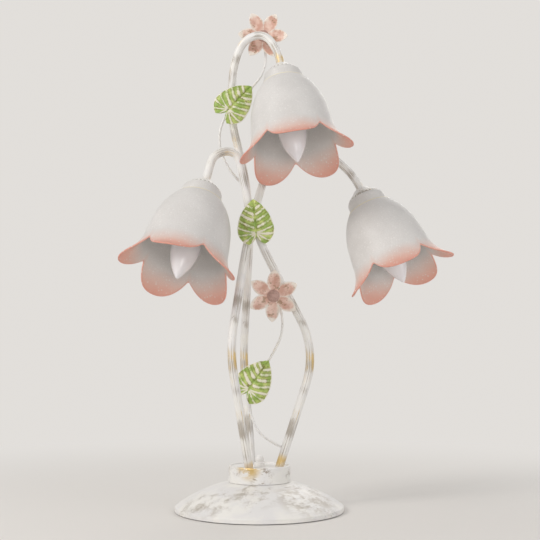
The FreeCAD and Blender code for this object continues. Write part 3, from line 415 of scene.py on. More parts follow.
LAMPS = ("top", "left", "right")
paint(["collar", "finial_nut", "finial_washer"], collar_enamel)
paint(["base_dome"], dome_enamel)

# %% [markdown]
# ## Plain working materials
# Under the dome and inside the caps are parts that are rarely seen: zinc-plated screws and
# nuts, a cast weight, felt, nylon, rubber, plastic, brass and nickel. Each still gets the
# grain of the real stuff, from one function that mixes two tones by noise and raises it.

# %% Working materials


def caught(tree, stored, cloud, fine, broad, close):
    """Where a brush touched: a stored mask, broken up by a broad and a close noise."""
    for noise, share in ((cloud, broad), (fine, close)):
        swing = scaled(tree, math_of(tree, "SUBTRACT", noise, 0.5), share)
        stored = math_of(tree, "ADD", stored, swing)
    return stored


def plain_stuff(name, light, dark, roughness, size, depth, metallic=0.0, spread=0.12):
    material, tree, shader, coordinates = new_material(name, roughness, metallic)
    height = grained(tree, coordinates, size)
    tree.links.new(mixed(tree, ramp(tree, height, 0.35, 0.65), dark, light), shader.inputs["Base Color"])
    uneven = ramp(tree, height, 0.3, 0.7, roughness - spread, roughness + spread)
    tree.links.new(uneven, shader.inputs["Roughness"])
    bumped(tree, shader, height, depth)
    return material


zinc = plain_stuff("zinc_plate", (0.66, 0.68, 0.70), (0.52, 0.53, 0.55), 0.35, 0.8, 0.03, metallic=1.0)
iron = plain_stuff("cast_iron", (0.075, 0.075, 0.08), (0.035, 0.035, 0.038), 0.7, 1.2, 0.30, metallic=0.4)
felt = plain_stuff("pressed_felt", (0.13, 0.13, 0.135), (0.06, 0.06, 0.063), 0.95, 0.35, 0.25, spread=0.04)
nylon = plain_stuff("moulded_nylon", (0.80, 0.79, 0.76), (0.72, 0.71, 0.68), 0.45, 2.0, 0.04)
rubber = plain_stuff("white_rubber", (0.72, 0.71, 0.69), (0.62, 0.61, 0.59), 0.7, 0.6, 0.05)
lead_skin = plain_stuff("lead_sheath", (0.70, 0.69, 0.65), (0.62, 0.61, 0.57), 0.4, 3.0, 0.03)
bakelite = plain_stuff("white_bakelite", (0.78, 0.765, 0.73), (0.70, 0.685, 0.65), 0.32, 1.6, 0.03)
brass = plain_stuff("bright_brass", (0.80, 0.58, 0.26), (0.62, 0.43, 0.17), 0.28, 0.8, 0.03, metallic=1.0)
nickel = plain_stuff("nickel_plate", (0.74, 0.70, 0.64), (0.60, 0.57, 0.52), 0.25, 0.9, 0.03, metallic=1.0)
black_glass = plain_stuff(
    "black_glass", (0.012, 0.012, 0.014), (0.006, 0.006, 0.007), 0.18, 1.0, 0.02, spread=0.05
)

paint(["base_plate", "stud", "stud_nut", "plate_screws", "earth_screw", "stem_nuts"], zinc)
paint([f"cap_nut_{lamp}" for lamp in LAMPS], zinc)
paint(["base_weight"], iron)
paint(["felt_pad"], felt)
paint(["terminal_block"], nylon)
paint(["cord_grommet"], rubber)
paint([f"lead_{lamp}" for lamp in LAMPS], lead_skin)
paint([f"{part}_{lamp}" for part in ("holder", "shade_ring") for lamp in LAMPS], bakelite)
paint([f"{part}_{lamp}" for part in ("holder_shell", "holder_contact") for lamp in LAMPS], brass)
paint([f"bulb_cap_{lamp}" for lamp in LAMPS], nickel)
paint([f"bulb_tip_{lamp}" for lamp in LAMPS], black_glass)

# %% [markdown]
# ## Candle bulbs
# The bulbs are opal glass: white all through, very smooth, with a sharp highlight. The packed
# solid has the right outline, so only its glass is made here, with a clear coat for the gloss
# and a faint warm and cool drift that keeps it from looking like plastic.

# %% Opal glass
opal, tree, shader, coordinates = new_material("opal_glass", 0.12)
drift = grained(tree, coordinates, 18.0)
milk = mixed(tree, ramp(tree, drift, 0.35, 0.65), (0.93, 0.91, 0.93), (0.88, 0.86, 0.89))
tree.links.new(milk, shader.inputs["Base Color"])
tree.links.new(ramp(tree, drift, 0.3, 0.7, 0.09, 0.15), shader.inputs["Roughness"])
shader.inputs["Coat Weight"].default_value = 0.6
shader.inputs["Coat Roughness"].default_value = 0.05
shader.inputs["Transmission Weight"].default_value = 0.05
paint([f"bulb_glass_{lamp}" for lamp in LAMPS], opal)

# %% [markdown]
# ## Helpers for pieces
# A repeated part is modelled once, upright and centred, and each copy's mesh is then moved
# into its place, so that every object itself stays at the origin. The lamps hang at odd
# angles, so each gets a small matrix: its Z points up the lamp's own axis.

# %% Place helpers
LAMP_PLACES = {
    "top": {"foot": (30.0, -18.0, 509.0), "azimuth": 298.0, "tilt": 17.9, "spin": 47.9},
    "left": {"foot": (-70.4, -43.4, 362.2), "azimuth": 242.6, "tilt": 26.7, "spin": 69.0},
    "right": {"foot": (139.0, 40.5, 366.5), "azimuth": 326.6, "tilt": 25.9, "spin": 5.7},
}


def matrix_of(across, side, up, place):
    """A matrix whose columns are three directions and a place in mm."""
    turned = Matrix((across, side, up)).transposed().to_4x4()
    return Matrix.Translation(Vector(place) * MM) @ turned


def lamp_matrix(lamp):
    place = LAMP_PLACES[lamp]
    azimuth, tilt, spin = (math.radians(place[key]) for key in ("azimuth", "tilt", "spin"))
    lean = math.sin(tilt)
    mouth = Vector((lean * math.cos(azimuth), lean * math.sin(azimuth), -math.cos(tilt)))
    level = mouth.cross(Vector((0, 0, 1))).normalized()
    steep = mouth.cross(level)
    notch = level * math.cos(spin) + steep * math.sin(spin)
    return matrix_of(notch, (-mouth).cross(notch), -mouth, place["foot"])


def front_matrix(place, swing):
    """For a leaf or flower: Z faces the front, X swings up from the right."""
    turn = math.radians(swing)
    across = Vector((math.cos(turn), 0, math.sin(turn)))
    up = Vector((0, -1, 0))
    return matrix_of(across, up.cross(across), up, place)


def take_up(piece):
    """Selects only this piece."""
    bpy.ops.object.select_all(action="DESELECT")
    piece.select_set(True)
    bpy.context.view_layer.objects.active = piece


def named(name):
    piece = bpy.context.object
    piece.name = name
    piece.data.name = name
    return piece


def apply_all(piece):
    take_up(piece)
    for modifier in list(piece.modifiers):
        bpy.ops.object.modifier_apply(modifier=modifier.name)


def copy_into(pattern, name, matrix):
    """A copy of a finished piece with its own mesh, set in its place."""
    piece = pattern.copy()
    piece.data = pattern.data.copy()
    piece.name = name
    piece.data.name = name
    bpy.context.scene.collection.objects.link(piece)
    piece.data.transform(matrix)
    return piece


def put_away(pattern):
    """Removes the upright pattern once its copies are made."""
    bpy.data.objects.remove(pattern)


def shaped_grid(name, columns, rows, place, stored):
    """A grid whose points are moved to place(across, along), which also gives the number
    or the three numbers to store on each point."""
    bpy.ops.object.select_all(action="DESELECT")
    bpy.ops.mesh.primitive_grid_add(x_subdivisions=columns, y_subdivisions=rows, size=2)
    grid = named(name)
    numbers = grid.data.attributes.new(stored, "FLOAT_VECTOR", "POINT")
    for point in grid.data.vertices:
        point.co, number = place((point.co.x + 1) / 2, (point.co.y + 1) / 2)
        numbers.data[point.index].vector = number if isinstance(number, Vector) else (number,) * 3
    return grid


def merged(piece, gap=0.01):
    """Joins points that lie together and turns all faces outwards."""
    take_up(piece)
    bpy.ops.object.mode_set(mode="EDIT")
    bpy.ops.mesh.select_all(action="SELECT")
    bpy.ops.mesh.remove_doubles(threshold=gap * MM)
    bpy.ops.mesh.normals_make_consistent(inside=False)
    bpy.ops.object.mode_set(mode="OBJECT")


def walled(piece, thickness):
    """Gives a skin a wall, against its faces' normals."""
    wall = piece.modifiers.new("wall", "SOLIDIFY")
    wall.thickness = thickness * MM
    wall.offset = -1
    return wall


def softened(piece):
    smooth = piece.modifiers.new("smooth", "SUBSURF")
    smooth.levels = 1
    smooth.render_levels = 1


def repeated(piece, copies):
    """Copies the mesh evenly round Z."""
    take_up(piece)
    bpy.ops.object.mode_set(mode="EDIT")
    bpy.ops.mesh.select_all(action="SELECT")
    turn = math.tau * (copies - 1) / copies
    bpy.ops.mesh.spin(steps=copies - 1, dupli=True, angle=turn, center=(0, 0, 0), axis=(0, 0, 1))
    bpy.ops.object.mode_set(mode="OBJECT")


print("lamp axes:", {lamp: tuple(round(x, 3) for x in lamp_matrix(lamp).col[2][:3]) for lamp in LAMPS})

# %% [markdown]
# ## Stems and vines
# The stems are steel tube, bent cold between straight runs. The vines are two wires twisted
# together and bent by hand. Both are a grid wrapped round a route: its columns go round, its
# rows go along. Their brush marks run along the bends, so each point stores how far along the
# route it is and where round the tube, and the enamel reads that instead of its place.

# %% Routes
END_SHARE = 0.9
MIDDLE_SHARE = 0.48


def bent_route(corners, step, first_bend=None):
    """Straight runs joined by tangent arcs, each as large as its two runs allow, as a list
    of places and headings about a step apart."""
    corners = [Vector(corner) for corner in corners]
    route, here = [], corners[0]

    def run_to(end):
        total = max(1, round((end - here).length / step))
        route.extend((here.lerp(end, index / total), (end - here).normalized()) for index in range(total))

    for index in range(1, len(corners) - 1):
        back, ahead = corners[index - 1] - corners[index], corners[index + 1] - corners[index]
        turn = math.pi - back.angle(ahead)
        room = min(
            back.length * (END_SHARE if index == 1 else MIDDLE_SHARE),
            ahead.length * (END_SHARE if index == len(corners) - 2 else MIDDLE_SHARE),
        )
        if first_bend and index == 1:
            room = min(room, first_bend * math.tan(turn / 2))
        bend = room / math.tan(turn / 2)
        back.normalize()
        ahead.normalize()
        start = corners[index] + back * room
        if (start - here).length > 0.01:
            run_to(start)
        centre = corners[index] + (back + ahead).normalized() * (bend / math.cos(turn / 2))
        total = max(2, round(bend * turn / step))
        for count in range(total):
            swing = turn * count / total
            place = centre + (start - centre) * math.cos(swing) - back * bend * math.sin(swing)
            route.append((place, (centre - start) / bend * math.sin(swing) - back * math.cos(swing)))
        here = corners[index] + ahead * room
    run_to(corners[-1])
    route.append((corners[-1], route[-1][1]))
    return route


def tube(name, route, columns, outline):
    """A closed skin round a route; outline(angle, distance) gives the radius and the angle
    in mm, so that a twisted strand's columns can follow its twist."""
    side = route[0][1].orthogonal().normalized()
    rings, distance = [], 0.0
    for index, (place, heading) in enumerate(route):
        side = (side - heading * side.dot(heading)).normalized()
        if index:
            distance += (place - route[index - 1][0]).length
        rings.append((place, side, heading.cross(side), distance))

    def point(across, along):
        place, side, other, distance = rings[round(along * (len(rings) - 1))]
        radius, angle = outline(across * math.tau, distance)
        round_it = side * math.cos(angle) + other * math.sin(angle)
        flow = Vector((distance, radius * round_it.dot(side), radius * round_it.dot(other)))
        return (place + round_it * radius) * MM, flow * MM

    skin = shaped_grid(name, columns, len(rings) - 1, point, "flow")
    merged(skin)
    return skin


# %% Stems
STEM_RADIUS = 5.0
STEM_WALL = 1.0
STEM_FIRST_BEND = 100.0
STEM_STARTS_BELOW = 10.3
STEM_ENDS_AT = 18.8
STEM_BENDS = {
    "top": ((-9.3, 22.5, 50.0), (-21.2, 60.3, 180.0), (-10.6, 13.0, 370.5), (-37.9, 20.0, 486.5),
            (-32.8, 14.0, 548.0), (-19.9, 7.0, 576.5), (6.3, 0.0, 581.5)),
    "left": ((23.3, -3.5, 50.0), (68.6, -7.0, 188.5), (-7.0, -12.0, 332.0), (-27.5, -10.0, 431.5)),
    "right": ((-11.6, -20.7, 50.0), (-33.9, -52.3, 189.0), (-13.0, -4.4, 335.0), (11.7, 34.0, 427.0),
              (68.8, 48.0, 449.5)),
}
STEM_DROPS = {"top": 50.0, "left": 73.0, "right": 59.0}
for lamp, bends in STEM_BENDS.items():
    up, heights = lamp_matrix(lamp), (STEM_DROPS[lamp], STEM_ENDS_AT)
    last_bend, top = (up @ Vector((0, 0, height * MM)) / MM for height in heights)
    rising = (Vector(bends[1]) - Vector(bends[0])).normalized()
    foot = Vector(bends[0]) - rising * STEM_STARTS_BELOW
    route = bent_route([foot, *bends[1:], last_bend, top], 4.0, STEM_FIRST_BEND)
    stem = tube(f"bent_stem_{lamp}", route, 24, lambda angle, distance: (STEM_RADIUS, angle))
    walled(stem, STEM_WALL)
    apply_all(stem)
    bpy.ops.object.shade_smooth()
    stem.data.materials.append(stem_enamel)
    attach(stem, "root")
    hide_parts(f"stem_{lamp}")
    low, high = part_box(f"stem_{lamp}")
    levels = [point.co.z for point in stem.data.vertices]
    gaps = [round(gap / MM, 2) for gap in (min(levels) - low.z, max(levels) - high.z)]
    print(stem.name, len(stem.data.polygons), "faces; off the packed tube by mm:", gaps)

# %% Vines
VINE_RADIUS = 1.6
TWIST_PITCH = 7.5
TWIST_DEPTH = 0.24
VINE_BENDS = {
    "upper": ((-23.6, 13.1, 396.0), (-37.0, 9.0, 409.0), (-50.0, 6.0, 437.0), (-50.0, 9.0, 462.0),
              (-41.7, 11.2, 482.7), (-11.2, 11.2, 514.0), (3.0, 15.0, 533.0), (8.0, 19.0, 552.0),
              (4.5, 19.8, 579.0)),
    "lower": ((25.6, -4.3, 75.0), (15.5, -2.0, 79.0), (-2.0, -2.0, 92.0), (-13.0, -2.0, 118.0),
              (-12.0, -3.0, 143.6), (13.6, -3.0, 180.2), (26.0, -7.0, 205.0), (28.0, -11.0, 222.0),
              (25.0, -13.4, 240.0), (17.5, -13.9, 251.0)),
}


def twisted(angle, distance):
    """Two strands side by side: full where a strand bulges, drawn in between them."""
    radius = VINE_RADIUS * (1 - TWIST_DEPTH * (0.5 - 0.5 * math.cos(2 * angle)) ** 2)
    return radius, angle + math.tau * distance / (2 * TWIST_PITCH)


for name, bends in VINE_BENDS.items():
    vine = tube(f"twisted_vine_{name}", bent_route(bends, 1.2), 16, twisted)
    take_up(vine)
    bpy.ops.object.mode_set(mode="EDIT")
    bpy.ops.mesh.select_all(action="DESELECT")
    bpy.ops.mesh.select_mode(type="EDGE")
    bpy.ops.mesh.select_non_manifold()
    bpy.ops.mesh.edge_face_add()
    bpy.ops.object.mode_set(mode="OBJECT")
    bpy.ops.object.shade_smooth()
    vine.data.materials.append(vine_enamel)
    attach(vine, "root")
    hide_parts(f"vine_{name}")
    print(vine.name, len(vine.data.polygons), "faces")

# %% [markdown]
# ## Glass tulips
# Each shade is pressed glass: a bell that ends in five round petals, which flare out like
# lips. Cutting petals out of a turned bell leaves ragged edges, so one petal is drawn instead
# as a grid whose columns run down the bell and stop exactly on the petal's outline. Five
# copies round the axis are merged into one bell. Each point stores how near it is to the lip
# and how near to the depth of the tip, from 0 to 1, which later places the coral blush. The
# merged faces point to the axis, so the wall grows outwards from the drawn skin.

# %% One petal of the bell
PETALS = 5
PETAL_COLUMNS = 20
BELL_ROWS = 34
NECK = (
    (14.6, 15.0), (18.0, 15.0), (20.4, 14.6), (21.2, 13.6),
    (21.2, 8.0), (21.2, 2.0), (22.2, 0.5), (26.0, -0.3),
)
SHOULDER_BEND = 86.0
BELLY = (44.5, -45.0)
WAIST = (46.5, -60.0)
TIP = (68.9, -102.0)
FLARE_BEND = 51.7
NOTCH_DEPTH = -79.6
LIP_REACH = 34.0
TIP_REACH = 42.0


def arc_centre(start, end, bend):
    """Centre of an arc from start to end; a positive bend puts it on the left of the way."""
    chord = Vector(end) - Vector(start)
    away = math.sqrt(bend * bend - chord.length_squared / 4)
    left = Vector((-chord.y, chord.x)).normalized()
    return (Vector(start) + Vector(end)) / 2 + left * math.copysign(away, bend)


shoulder_centre = arc_centre(NECK[-1], BELLY, -SHOULDER_BEND)
flare_centre = arc_centre(WAIST, TIP, FLARE_BEND)


def bell_radius(depth):
    """The bell's outer radius at a depth, both in mm."""
    if depth > BELLY[1]:
        rise = depth - shoulder_centre.y
        return shoulder_centre.x + math.sqrt(SHOULDER_BEND**2 - rise**2)
    if depth > WAIST[1]:
        share = (depth - BELLY[1]) / (WAIST[1] - BELLY[1])
        return BELLY[0] + (WAIST[0] - BELLY[0]) * share
    rise = depth - flare_centre.y
    return flare_centre.x - math.sqrt(FLARE_BEND**2 - rise**2)


petal_reach = TIP[0] * math.sin(math.pi / PETALS)
petal_drop = NOTCH_DEPTH - TIP[1]
petal_round = (petal_reach**2 + petal_drop**2) / (2 * petal_drop)


def lip_depth(from_notch):
    """How deep the petal's edge lies, at an angle from the notch."""
    depth = TIP[1]
    for _ in range(40):
        vein_flank_shade = petal_reach - min(petal_reach, bell_radius(depth) * math.sin(from_notch))
        target = TIP[1] + petal_round - math.sqrt(petal_round**2 - vein_flank_shade**2)
        depth += (target - depth) * 0.5
    return depth


def petal_point(across, along):
    """across runs over one petal from 0 to 1, along from the neck's hole to the lip."""
    half = math.pi / PETALS
    angle = across * 2 * half
    lip = lip_depth(half - abs(angle - half))
    row = round(along * (len(NECK) - 1 + BELL_ROWS))
    if row < len(NECK):
        radius, depth = NECK[row]
    else:
        share = (row - len(NECK) + 1) / BELL_ROWS
        depth = NECK[-1][1] + (lip - NECK[-1][1]) * (1 - (1 - share) ** 1.25)
        radius = bell_radius(depth)
    near_lip = max(0.0, 1 - (depth - lip) / LIP_REACH)
    near_tip = max(0.0, 1 - (depth - TIP[1]) / TIP_REACH)
    spray = Vector((near_lip, near_tip, 0.0))
    return Vector((radius * math.cos(angle), radius * math.sin(angle), depth)) * MM, spray


tulip = shaped_grid("tulip", PETAL_COLUMNS, len(NECK) - 1 + BELL_ROWS, petal_point, "blush")
print("one petal:", len(tulip.data.vertices), "points")

# %% Five petals and the wall
WALL = 3.0
LIP_WALL = 0.62

repeated(tulip, PETALS)
merged(tulip)
thin = tulip.vertex_groups.new(name="wall")
for point in tulip.data.vertices:
    blush = tulip.data.attributes["blush"].data[point.index].vector.x
    thin.add([point.index], 1 - (1 - LIP_WALL) * min(1.0, blush) ** 2, "REPLACE")
wall = walled(tulip, WALL)
wall.vertex_group = "wall"
wall.use_even_offset = False
softened(tulip)
apply_all(tulip)
bpy.ops.object.shade_smooth()
high = max(point.co.z for point in tulip.data.vertices) / MM
wide = max(point.co.x for point in tulip.data.vertices) / MM
print("tulip:", len(tulip.data.polygons), "faces, top", round(high, 1), "half width", round(wide, 1))

# %% [markdown]
# The glass is acid-etched, so it is white and satin; the fine sparkle of its larger crystals is painted into
# the colour as white specks, painted glints.
# Coral was sprayed on the petals' edges and fades upwards. Both faces of the wall have this
# one material. Light that enters the wall is scattered, which a rough transmission gives.

# %% Blush glass
FROST_PIT = (0.55, 0.49, 0.46)
PAINTED_GLINT = (0.95, 0.92, 0.90)
speckle, given, result = new_group("speckle", [("Vector", "NodeSocketVector", (0, 0, 0))], ["Mask"])
cells = node(speckle, "ShaderNodeTexVoronoi", {"Vector": given["Vector"], "Scale": 330.0, "Randomness": 1.0})
apart = ramp(speckle, cells.outputs["Distance"], 0.42, 0.20)
chosen = node(speckle, "ShaderNodeSeparateColor", {0: cells.outputs["Color"]})
kept = ramp(speckle, chosen.outputs[0], 0.45, 0.95)
speckle.links.new(math_of(speckle, "MULTIPLY", apart, kept), result["Mask"])


def blush_glass(name, body, shade, blush, deep, lip, sparkle, reach):
    """Two body colours mixed by a broad noise, then the blush, its deepest tone and
    the bright line on the lip."""
    material, tree, shader, coordinates = new_material(name, 0.5)
    sprayed = node(tree, "ShaderNodeAttribute", attribute_name="blush").outputs["Vector"]
    edge, tip, _ = node(tree, "ShaderNodeSeparateXYZ", {0: sprayed}).outputs
    cloud = grained(tree, coordinates, 30.0)
    frost = grained(tree, coordinates, 0.8)
    wander = math_of(tree, "MULTIPLY_ADD", cloud, 0.30, -0.15)
    misted = math_of(tree, "ADD", tip, wander)
    halo = scaled(tree, ramp(tree, edge, 0.55, 1.0), 0.45)
    colour = mixed(tree, ramp(tree, cloud, 0.3, 0.7), body, shade)
    sprayed_on = math_of(tree, "MAXIMUM", ramp(tree, misted, reach, 0.95), halo)
    colour = mixed(tree, sprayed_on, colour, blush)
    colour = mixed(tree, ramp(tree, misted, 0.60, 1.15), colour, deep)
    colour = mixed(tree, scaled(tree, ramp(tree, edge, 0.93, 0.99), 0.8), colour, lip)
    pits = scaled(tree, ramp(tree, frost, 0.55, 0.35), 0.22)
    colour = mixed(tree, pits, colour, FROST_PIT)
    # Painted glints: white specks mixed into the base colour where the frost's crystals sparkle.
    painted_glints = math_of(tree, "MULTIPLY", placed(tree, speckle, {"Vector": coordinates})[0], sparkle)
    colour = mixed(tree, painted_glints, colour, PAINTED_GLINT)
    tree.links.new(colour, shader.inputs["Base Color"])
    tree.links.new(ramp(tree, frost, 0.3, 0.7, 0.42, 0.60), shader.inputs["Roughness"])
    shader.inputs["Transmission Weight"].default_value = 0.2
    shader.inputs["IOR"].default_value = 1.45
    bumped(tree, shader, frost, 0.05)
    return material


blushed = blush_glass(
    "blush_glass", body=(0.84, 0.82, 0.80), shade=(0.78, 0.76, 0.74), blush=(0.88, 0.56, 0.46),
    deep=(0.84, 0.36, 0.27), lip=(0.84, 0.38, 0.29), sparkle=0.5, reach=0.20,
)
tulip.data.materials.append(blushed)
for lamp in LAMPS:
    shade = copy_into(tulip, f"tulip_{lamp}", lamp_matrix(lamp))
    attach(shade, f"{lamp}_shade")
    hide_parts(f"shade_{lamp}")
    print(shade.name, "hangs on", f"{lamp}_shade")
put_away(tulip)

# %% [markdown]
# ## Fluted caps
# The caps are pressed cups, enamelled: a flat ring round the stem, a domed shoulder, a side
# of rounded ribs with narrow grooves between them, and a flared foot that ends in a bead. The
# rings of the cup are extruded one from another, as it would be drawn by hand, and the
# grooves are pressed in by pulling their points towards the axis. The glass's wall reaches a
# little further out than the side, so from outside the flutes are mostly covered.

# %% Cap
RIBS = 26
POINTS_PER_RIB = 8
CAP_RINGS = (
    (5.05, 29.0), (8.6, 29.0), (9.6, 28.7), (10.4, 28.0), (12.5, 25.7), (15.0, 23.4), (17.5, 21.4),
    (19.6, 19.8), (21.2, 18.3), (22.4, 16.5), (23.1, 14.8), (23.5, 13.0), (23.6, 11.0), (23.7, 8.8),
    (23.7, 7.0), (23.6, 5.6), (23.1, 5.0), (22.6, 4.5), (22.7, 4.0), (23.6, 3.5), (25.2, 3.0),
    (26.8, 2.7), (27.9, 2.2), (28.3, 1.3), (28.2, 0.5), (27.7, 0.1),
)
FLUTED = (5.6, 21.6)
FLUTE_RUN_IN = 1.6
FLUTE_RUN_OUT = 3.0
GROOVE = 1.5
CAP_WALL = 1.0
BEAD_TOP = 3.2
BEAD_INSIDE = 25.0

bpy.ops.object.select_all(action="DESELECT")
first_radius, first_height = CAP_RINGS[0]
bpy.ops.mesh.primitive_circle_add(
    vertices=RIBS * POINTS_PER_RIB, radius=first_radius * MM, location=(0, 0, first_height * MM)
)
cap = named("cap")
bpy.ops.object.transform_apply(location=True, rotation=False, scale=False)
bpy.ops.object.mode_set(mode="EDIT")
bpy.ops.mesh.select_all(action="SELECT")
for (radius, height), (wider, lower) in zip(CAP_RINGS, CAP_RINGS[1:]):
    bpy.ops.mesh.extrude_edges_move(TRANSFORM_OT_translate={"value": (0, 0, (lower - height) * MM)})
    growth = wider / radius
    bpy.ops.transform.resize(value=(growth, growth, 1), center_override=(0, 0, 0))
bpy.ops.object.mode_set(mode="OBJECT")
hollow = cap.data.attributes.new("hollow", "FLOAT_VECTOR", "POINT")
for point in cap.data.vertices:
    height = point.co.z / MM
    inside = min(1.0, max(0.0, (height - FLUTED[0]) / FLUTE_RUN_IN))
    inside *= min(1.0, max(0.0, (FLUTED[1] - height) / FLUTE_RUN_OUT))
    rib = math.cos(RIBS * math.atan2(point.co.y, point.co.x)) * 0.5 + 0.5
    depth = inside * rib**1.5
    reach = math.hypot(point.co.x, point.co.y)
    on_bead = 1.0 if height < BEAD_TOP and reach > BEAD_INSIDE * MM else 0.0
    # Where a painted shadow line goes: in the groove above the foot and at the rim against the glass.
    at_shadow_line = math.exp(-(((height - 4.4) / 0.7) ** 2)) + math.exp(-(((height - 0.1) / 0.35) ** 2))
    hollow.data[point.index].vector = (depth, on_bead, min(1.0, at_shadow_line))
    point.co.xy *= 1 - GROOVE * MM * depth / reach
merged(cap)
walled(cap, CAP_WALL)
softened(cap)
apply_all(cap)
bpy.ops.object.shade_smooth()
print("cap:", len(cap.data.polygons), "faces")

# %% Cap enamel
cap_enamel = ivory_enamel("ivory_caps", ALONG_Z, (14.0, 1.4), rub=0.64, gild=0.74, chips=0.84)
tree = cap_enamel.node_tree
shader = tree.nodes["Principled BSDF"]
under = shader.inputs["Base Color"].links[0].from_socket
stored = node(tree, "ShaderNodeAttribute", attribute_name="hollow").outputs["Vector"]
recess, bead, shadow_line = node(tree, "ShaderNodeSeparateXYZ", {0: stored}).outputs
# Painted shade: the grooves are darkened to grey-brown by their depth.
painted_groove_shade = scaled(tree, ramp(tree, recess, 0.30, 0.85), 0.85)
colour = mixed(tree, painted_groove_shade, under, (0.33, 0.30, 0.26))
# Painted shadow: a dark line in the groove above the foot and at the rim.
colour = mixed(tree, scaled(tree, shadow_line, 0.8), colour, (0.30, 0.26, 0.21))
colour = mixed(tree, scaled(tree, bead, 0.75), colour, (0.86, 0.78, 0.58))
tree.links.new(colour, shader.inputs["Base Color"])
cap.data.materials.append(cap_enamel)
for lamp in LAMPS:
    cup = copy_into(cap, f"fluted_cap_{lamp}", lamp_matrix(lamp))
    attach(cup, "root")
    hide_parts(f"cap_{lamp}")
put_away(cap)
print("caps set on", LAMPS)

# %% [markdown]
# ## Leaves
# A leaf is sheet metal pressed in a die: heart-shaped, with a furrow along the middle and
# raised veins that sweep out of it and bend towards the tip. Half a leaf is a grid: its rows
# run along the veins, from the furrow to the outline, so the veins come out clean. The other
# half mirrors it. A stored number, 1 on a vein and 0 between, tells the paint where the cream
# brush touched, and where a darker olive is painted along the veins' flanks as painted shade.

# %% Leaf shape
LEAF_TIP = 41.0
LEAF_WIDEST = (2.0, 22.3)
LEAF_LOBE = (-15.0, 9.4)
LEAF_SIDE_BEND = 49.2
LEAF_LOBE_BEND = 19.8
LEAF_NOTCH_BEND = 18.0
LEAF_CROWN = 130.0
LEAF_MIDDLE = 13.0
VEINS = (0.17, 0.30, 0.42, 0.53, 0.63, 0.72, 0.80, 0.87)
VEIN_WIDTH = 0.020
VEIN_HEIGHT = 0.75
VEIN_SWEEP = 0.17
FAN_SHARE = 0.56
RIM_SHARE = 0.045
FURROW_WIDTH = 1.5
FURROW_DEPTH = 1.0
PILLOW = 0.9
LEAF_SET_BACK = 0.5


def arc_points(start, end, bend, steps):
    """Points along an arc, the first included and the last left out."""
    centre = arc_centre(start, end, bend)
    first = math.atan2(start[1] - centre.y, start[0] - centre.x)
    last = math.atan2(end[1] - centre.y, end[0] - centre.x)
    while last < first:
        last += math.tau
    turns = [first + (last - first) * step / steps for step in range(steps)]
    return [(centre.x + bend * math.cos(turn), centre.y + bend * math.sin(turn)) for turn in turns]


half_outline = arc_points((LEAF_TIP, 0), LEAF_WIDEST, LEAF_SIDE_BEND, 40)
half_outline += arc_points(LEAF_WIDEST, LEAF_LOBE, LEAF_LOBE_BEND, 24)
half_outline += arc_points(LEAF_LOBE, (0, 0), LEAF_NOTCH_BEND, 20)
half_outline = [Vector(point) for point in half_outline + [(0, 0)]][::-1]


def along_outline(share):
    """A point of the half outline, from the notch at 0 to the tip at 1."""
    lengths = [0.0]
    for before, after in zip(half_outline, half_outline[1:]):
        lengths.append(lengths[-1] + (after - before).length)
    goal = share * lengths[-1]
    for index in range(1, len(lengths)):
        if lengths[index] >= goal:
            part = (goal - lengths[index - 1]) / (lengths[index] - lengths[index - 1])
            return half_outline[index - 1].lerp(half_outline[index], part)
    return half_outline[-1]


def leaf_point(across, along):
    """across runs from the furrow to the outline, along from the notch to the tip."""
    stem_share = max(0.0, (along - FAN_SHARE) / (1 - FAN_SHARE))
    inner = Vector((LEAF_TIP * stem_share**1.1, 0.0))
    outer = along_outline(along)
    reach = (outer - inner).length
    control = (inner + outer) / 2 + Vector((-VEIN_SWEEP * reach * (1 - 0.4 * across), 0.0))
    flat = inner * (1 - across) ** 2 + control * (2 * across * (1 - across)) + outer * across**2
    vein = max(math.exp(-(((along - middle) / VEIN_WIDTH) ** 2)) for middle in VEINS)
    rim = math.exp(-(((1 - across) / RIM_SHARE) ** 2))
    furrow = math.exp(-((flat.y / FURROW_WIDTH) ** 2)) if flat.x > 0.5 else 0.0
    raised = max(vein * min(1.0, across / 0.12) * (1 - 0.25 * across), rim) * (1 - furrow)
    pillow = math.sin(math.pi * min(1.0, across)) * PILLOW if reach > 3 else 0.0
    crown = ((flat.x - LEAF_MIDDLE) ** 2 + flat.y**2) / (2 * LEAF_CROWN)
    height = VEIN_HEIGHT * raised - crown - furrow * FURROW_DEPTH + pillow - LEAF_SET_BACK
    return Vector((flat.x, flat.y, height)) * MM, raised


SHEET = 1.0
LEAF_COLUMNS = 16
LEAF_ROWS = 110
leaf = shaped_grid("leaf", LEAF_COLUMNS, LEAF_ROWS, leaf_point, "raised")
mirror = leaf.modifiers.new("other_half", "MIRROR")
mirror.use_axis = (False, True, False)
mirror.use_clip = True
apply_all(leaf)
merged(leaf, 0.02)
walled(leaf, SHEET)
softened(leaf)
apply_all(leaf)
bpy.ops.object.shade_smooth()
print("leaf:", len(leaf.data.polygons), "faces")

# %% Leaf enamel
LEAF_GREEN = (0.28, 0.42, 0.08)
YELLOW_GREEN = (0.54, 0.62, 0.19)
OLIVE = (0.20, 0.16, 0.04)
CREAM = (0.80, 0.76, 0.64)
leaf_enamel, tree, shader, coordinates = new_material("leaf_enamel", 0.4)
raised = node(tree, "ShaderNodeAttribute", attribute_name="raised").outputs["Fac"]
cloud = grained(tree, coordinates, 9.0)
fine = grained(tree, coordinates, 1.1)
dirt = streaked(tree, coordinates, 4.0, 2.5, 11.0, 0.62)
brushed = caught(tree, raised, cloud, fine, 2.2, 1.6)
colour = mixed(tree, ramp(tree, cloud, 0.38, 0.62), LEAF_GREEN, YELLOW_GREEN)
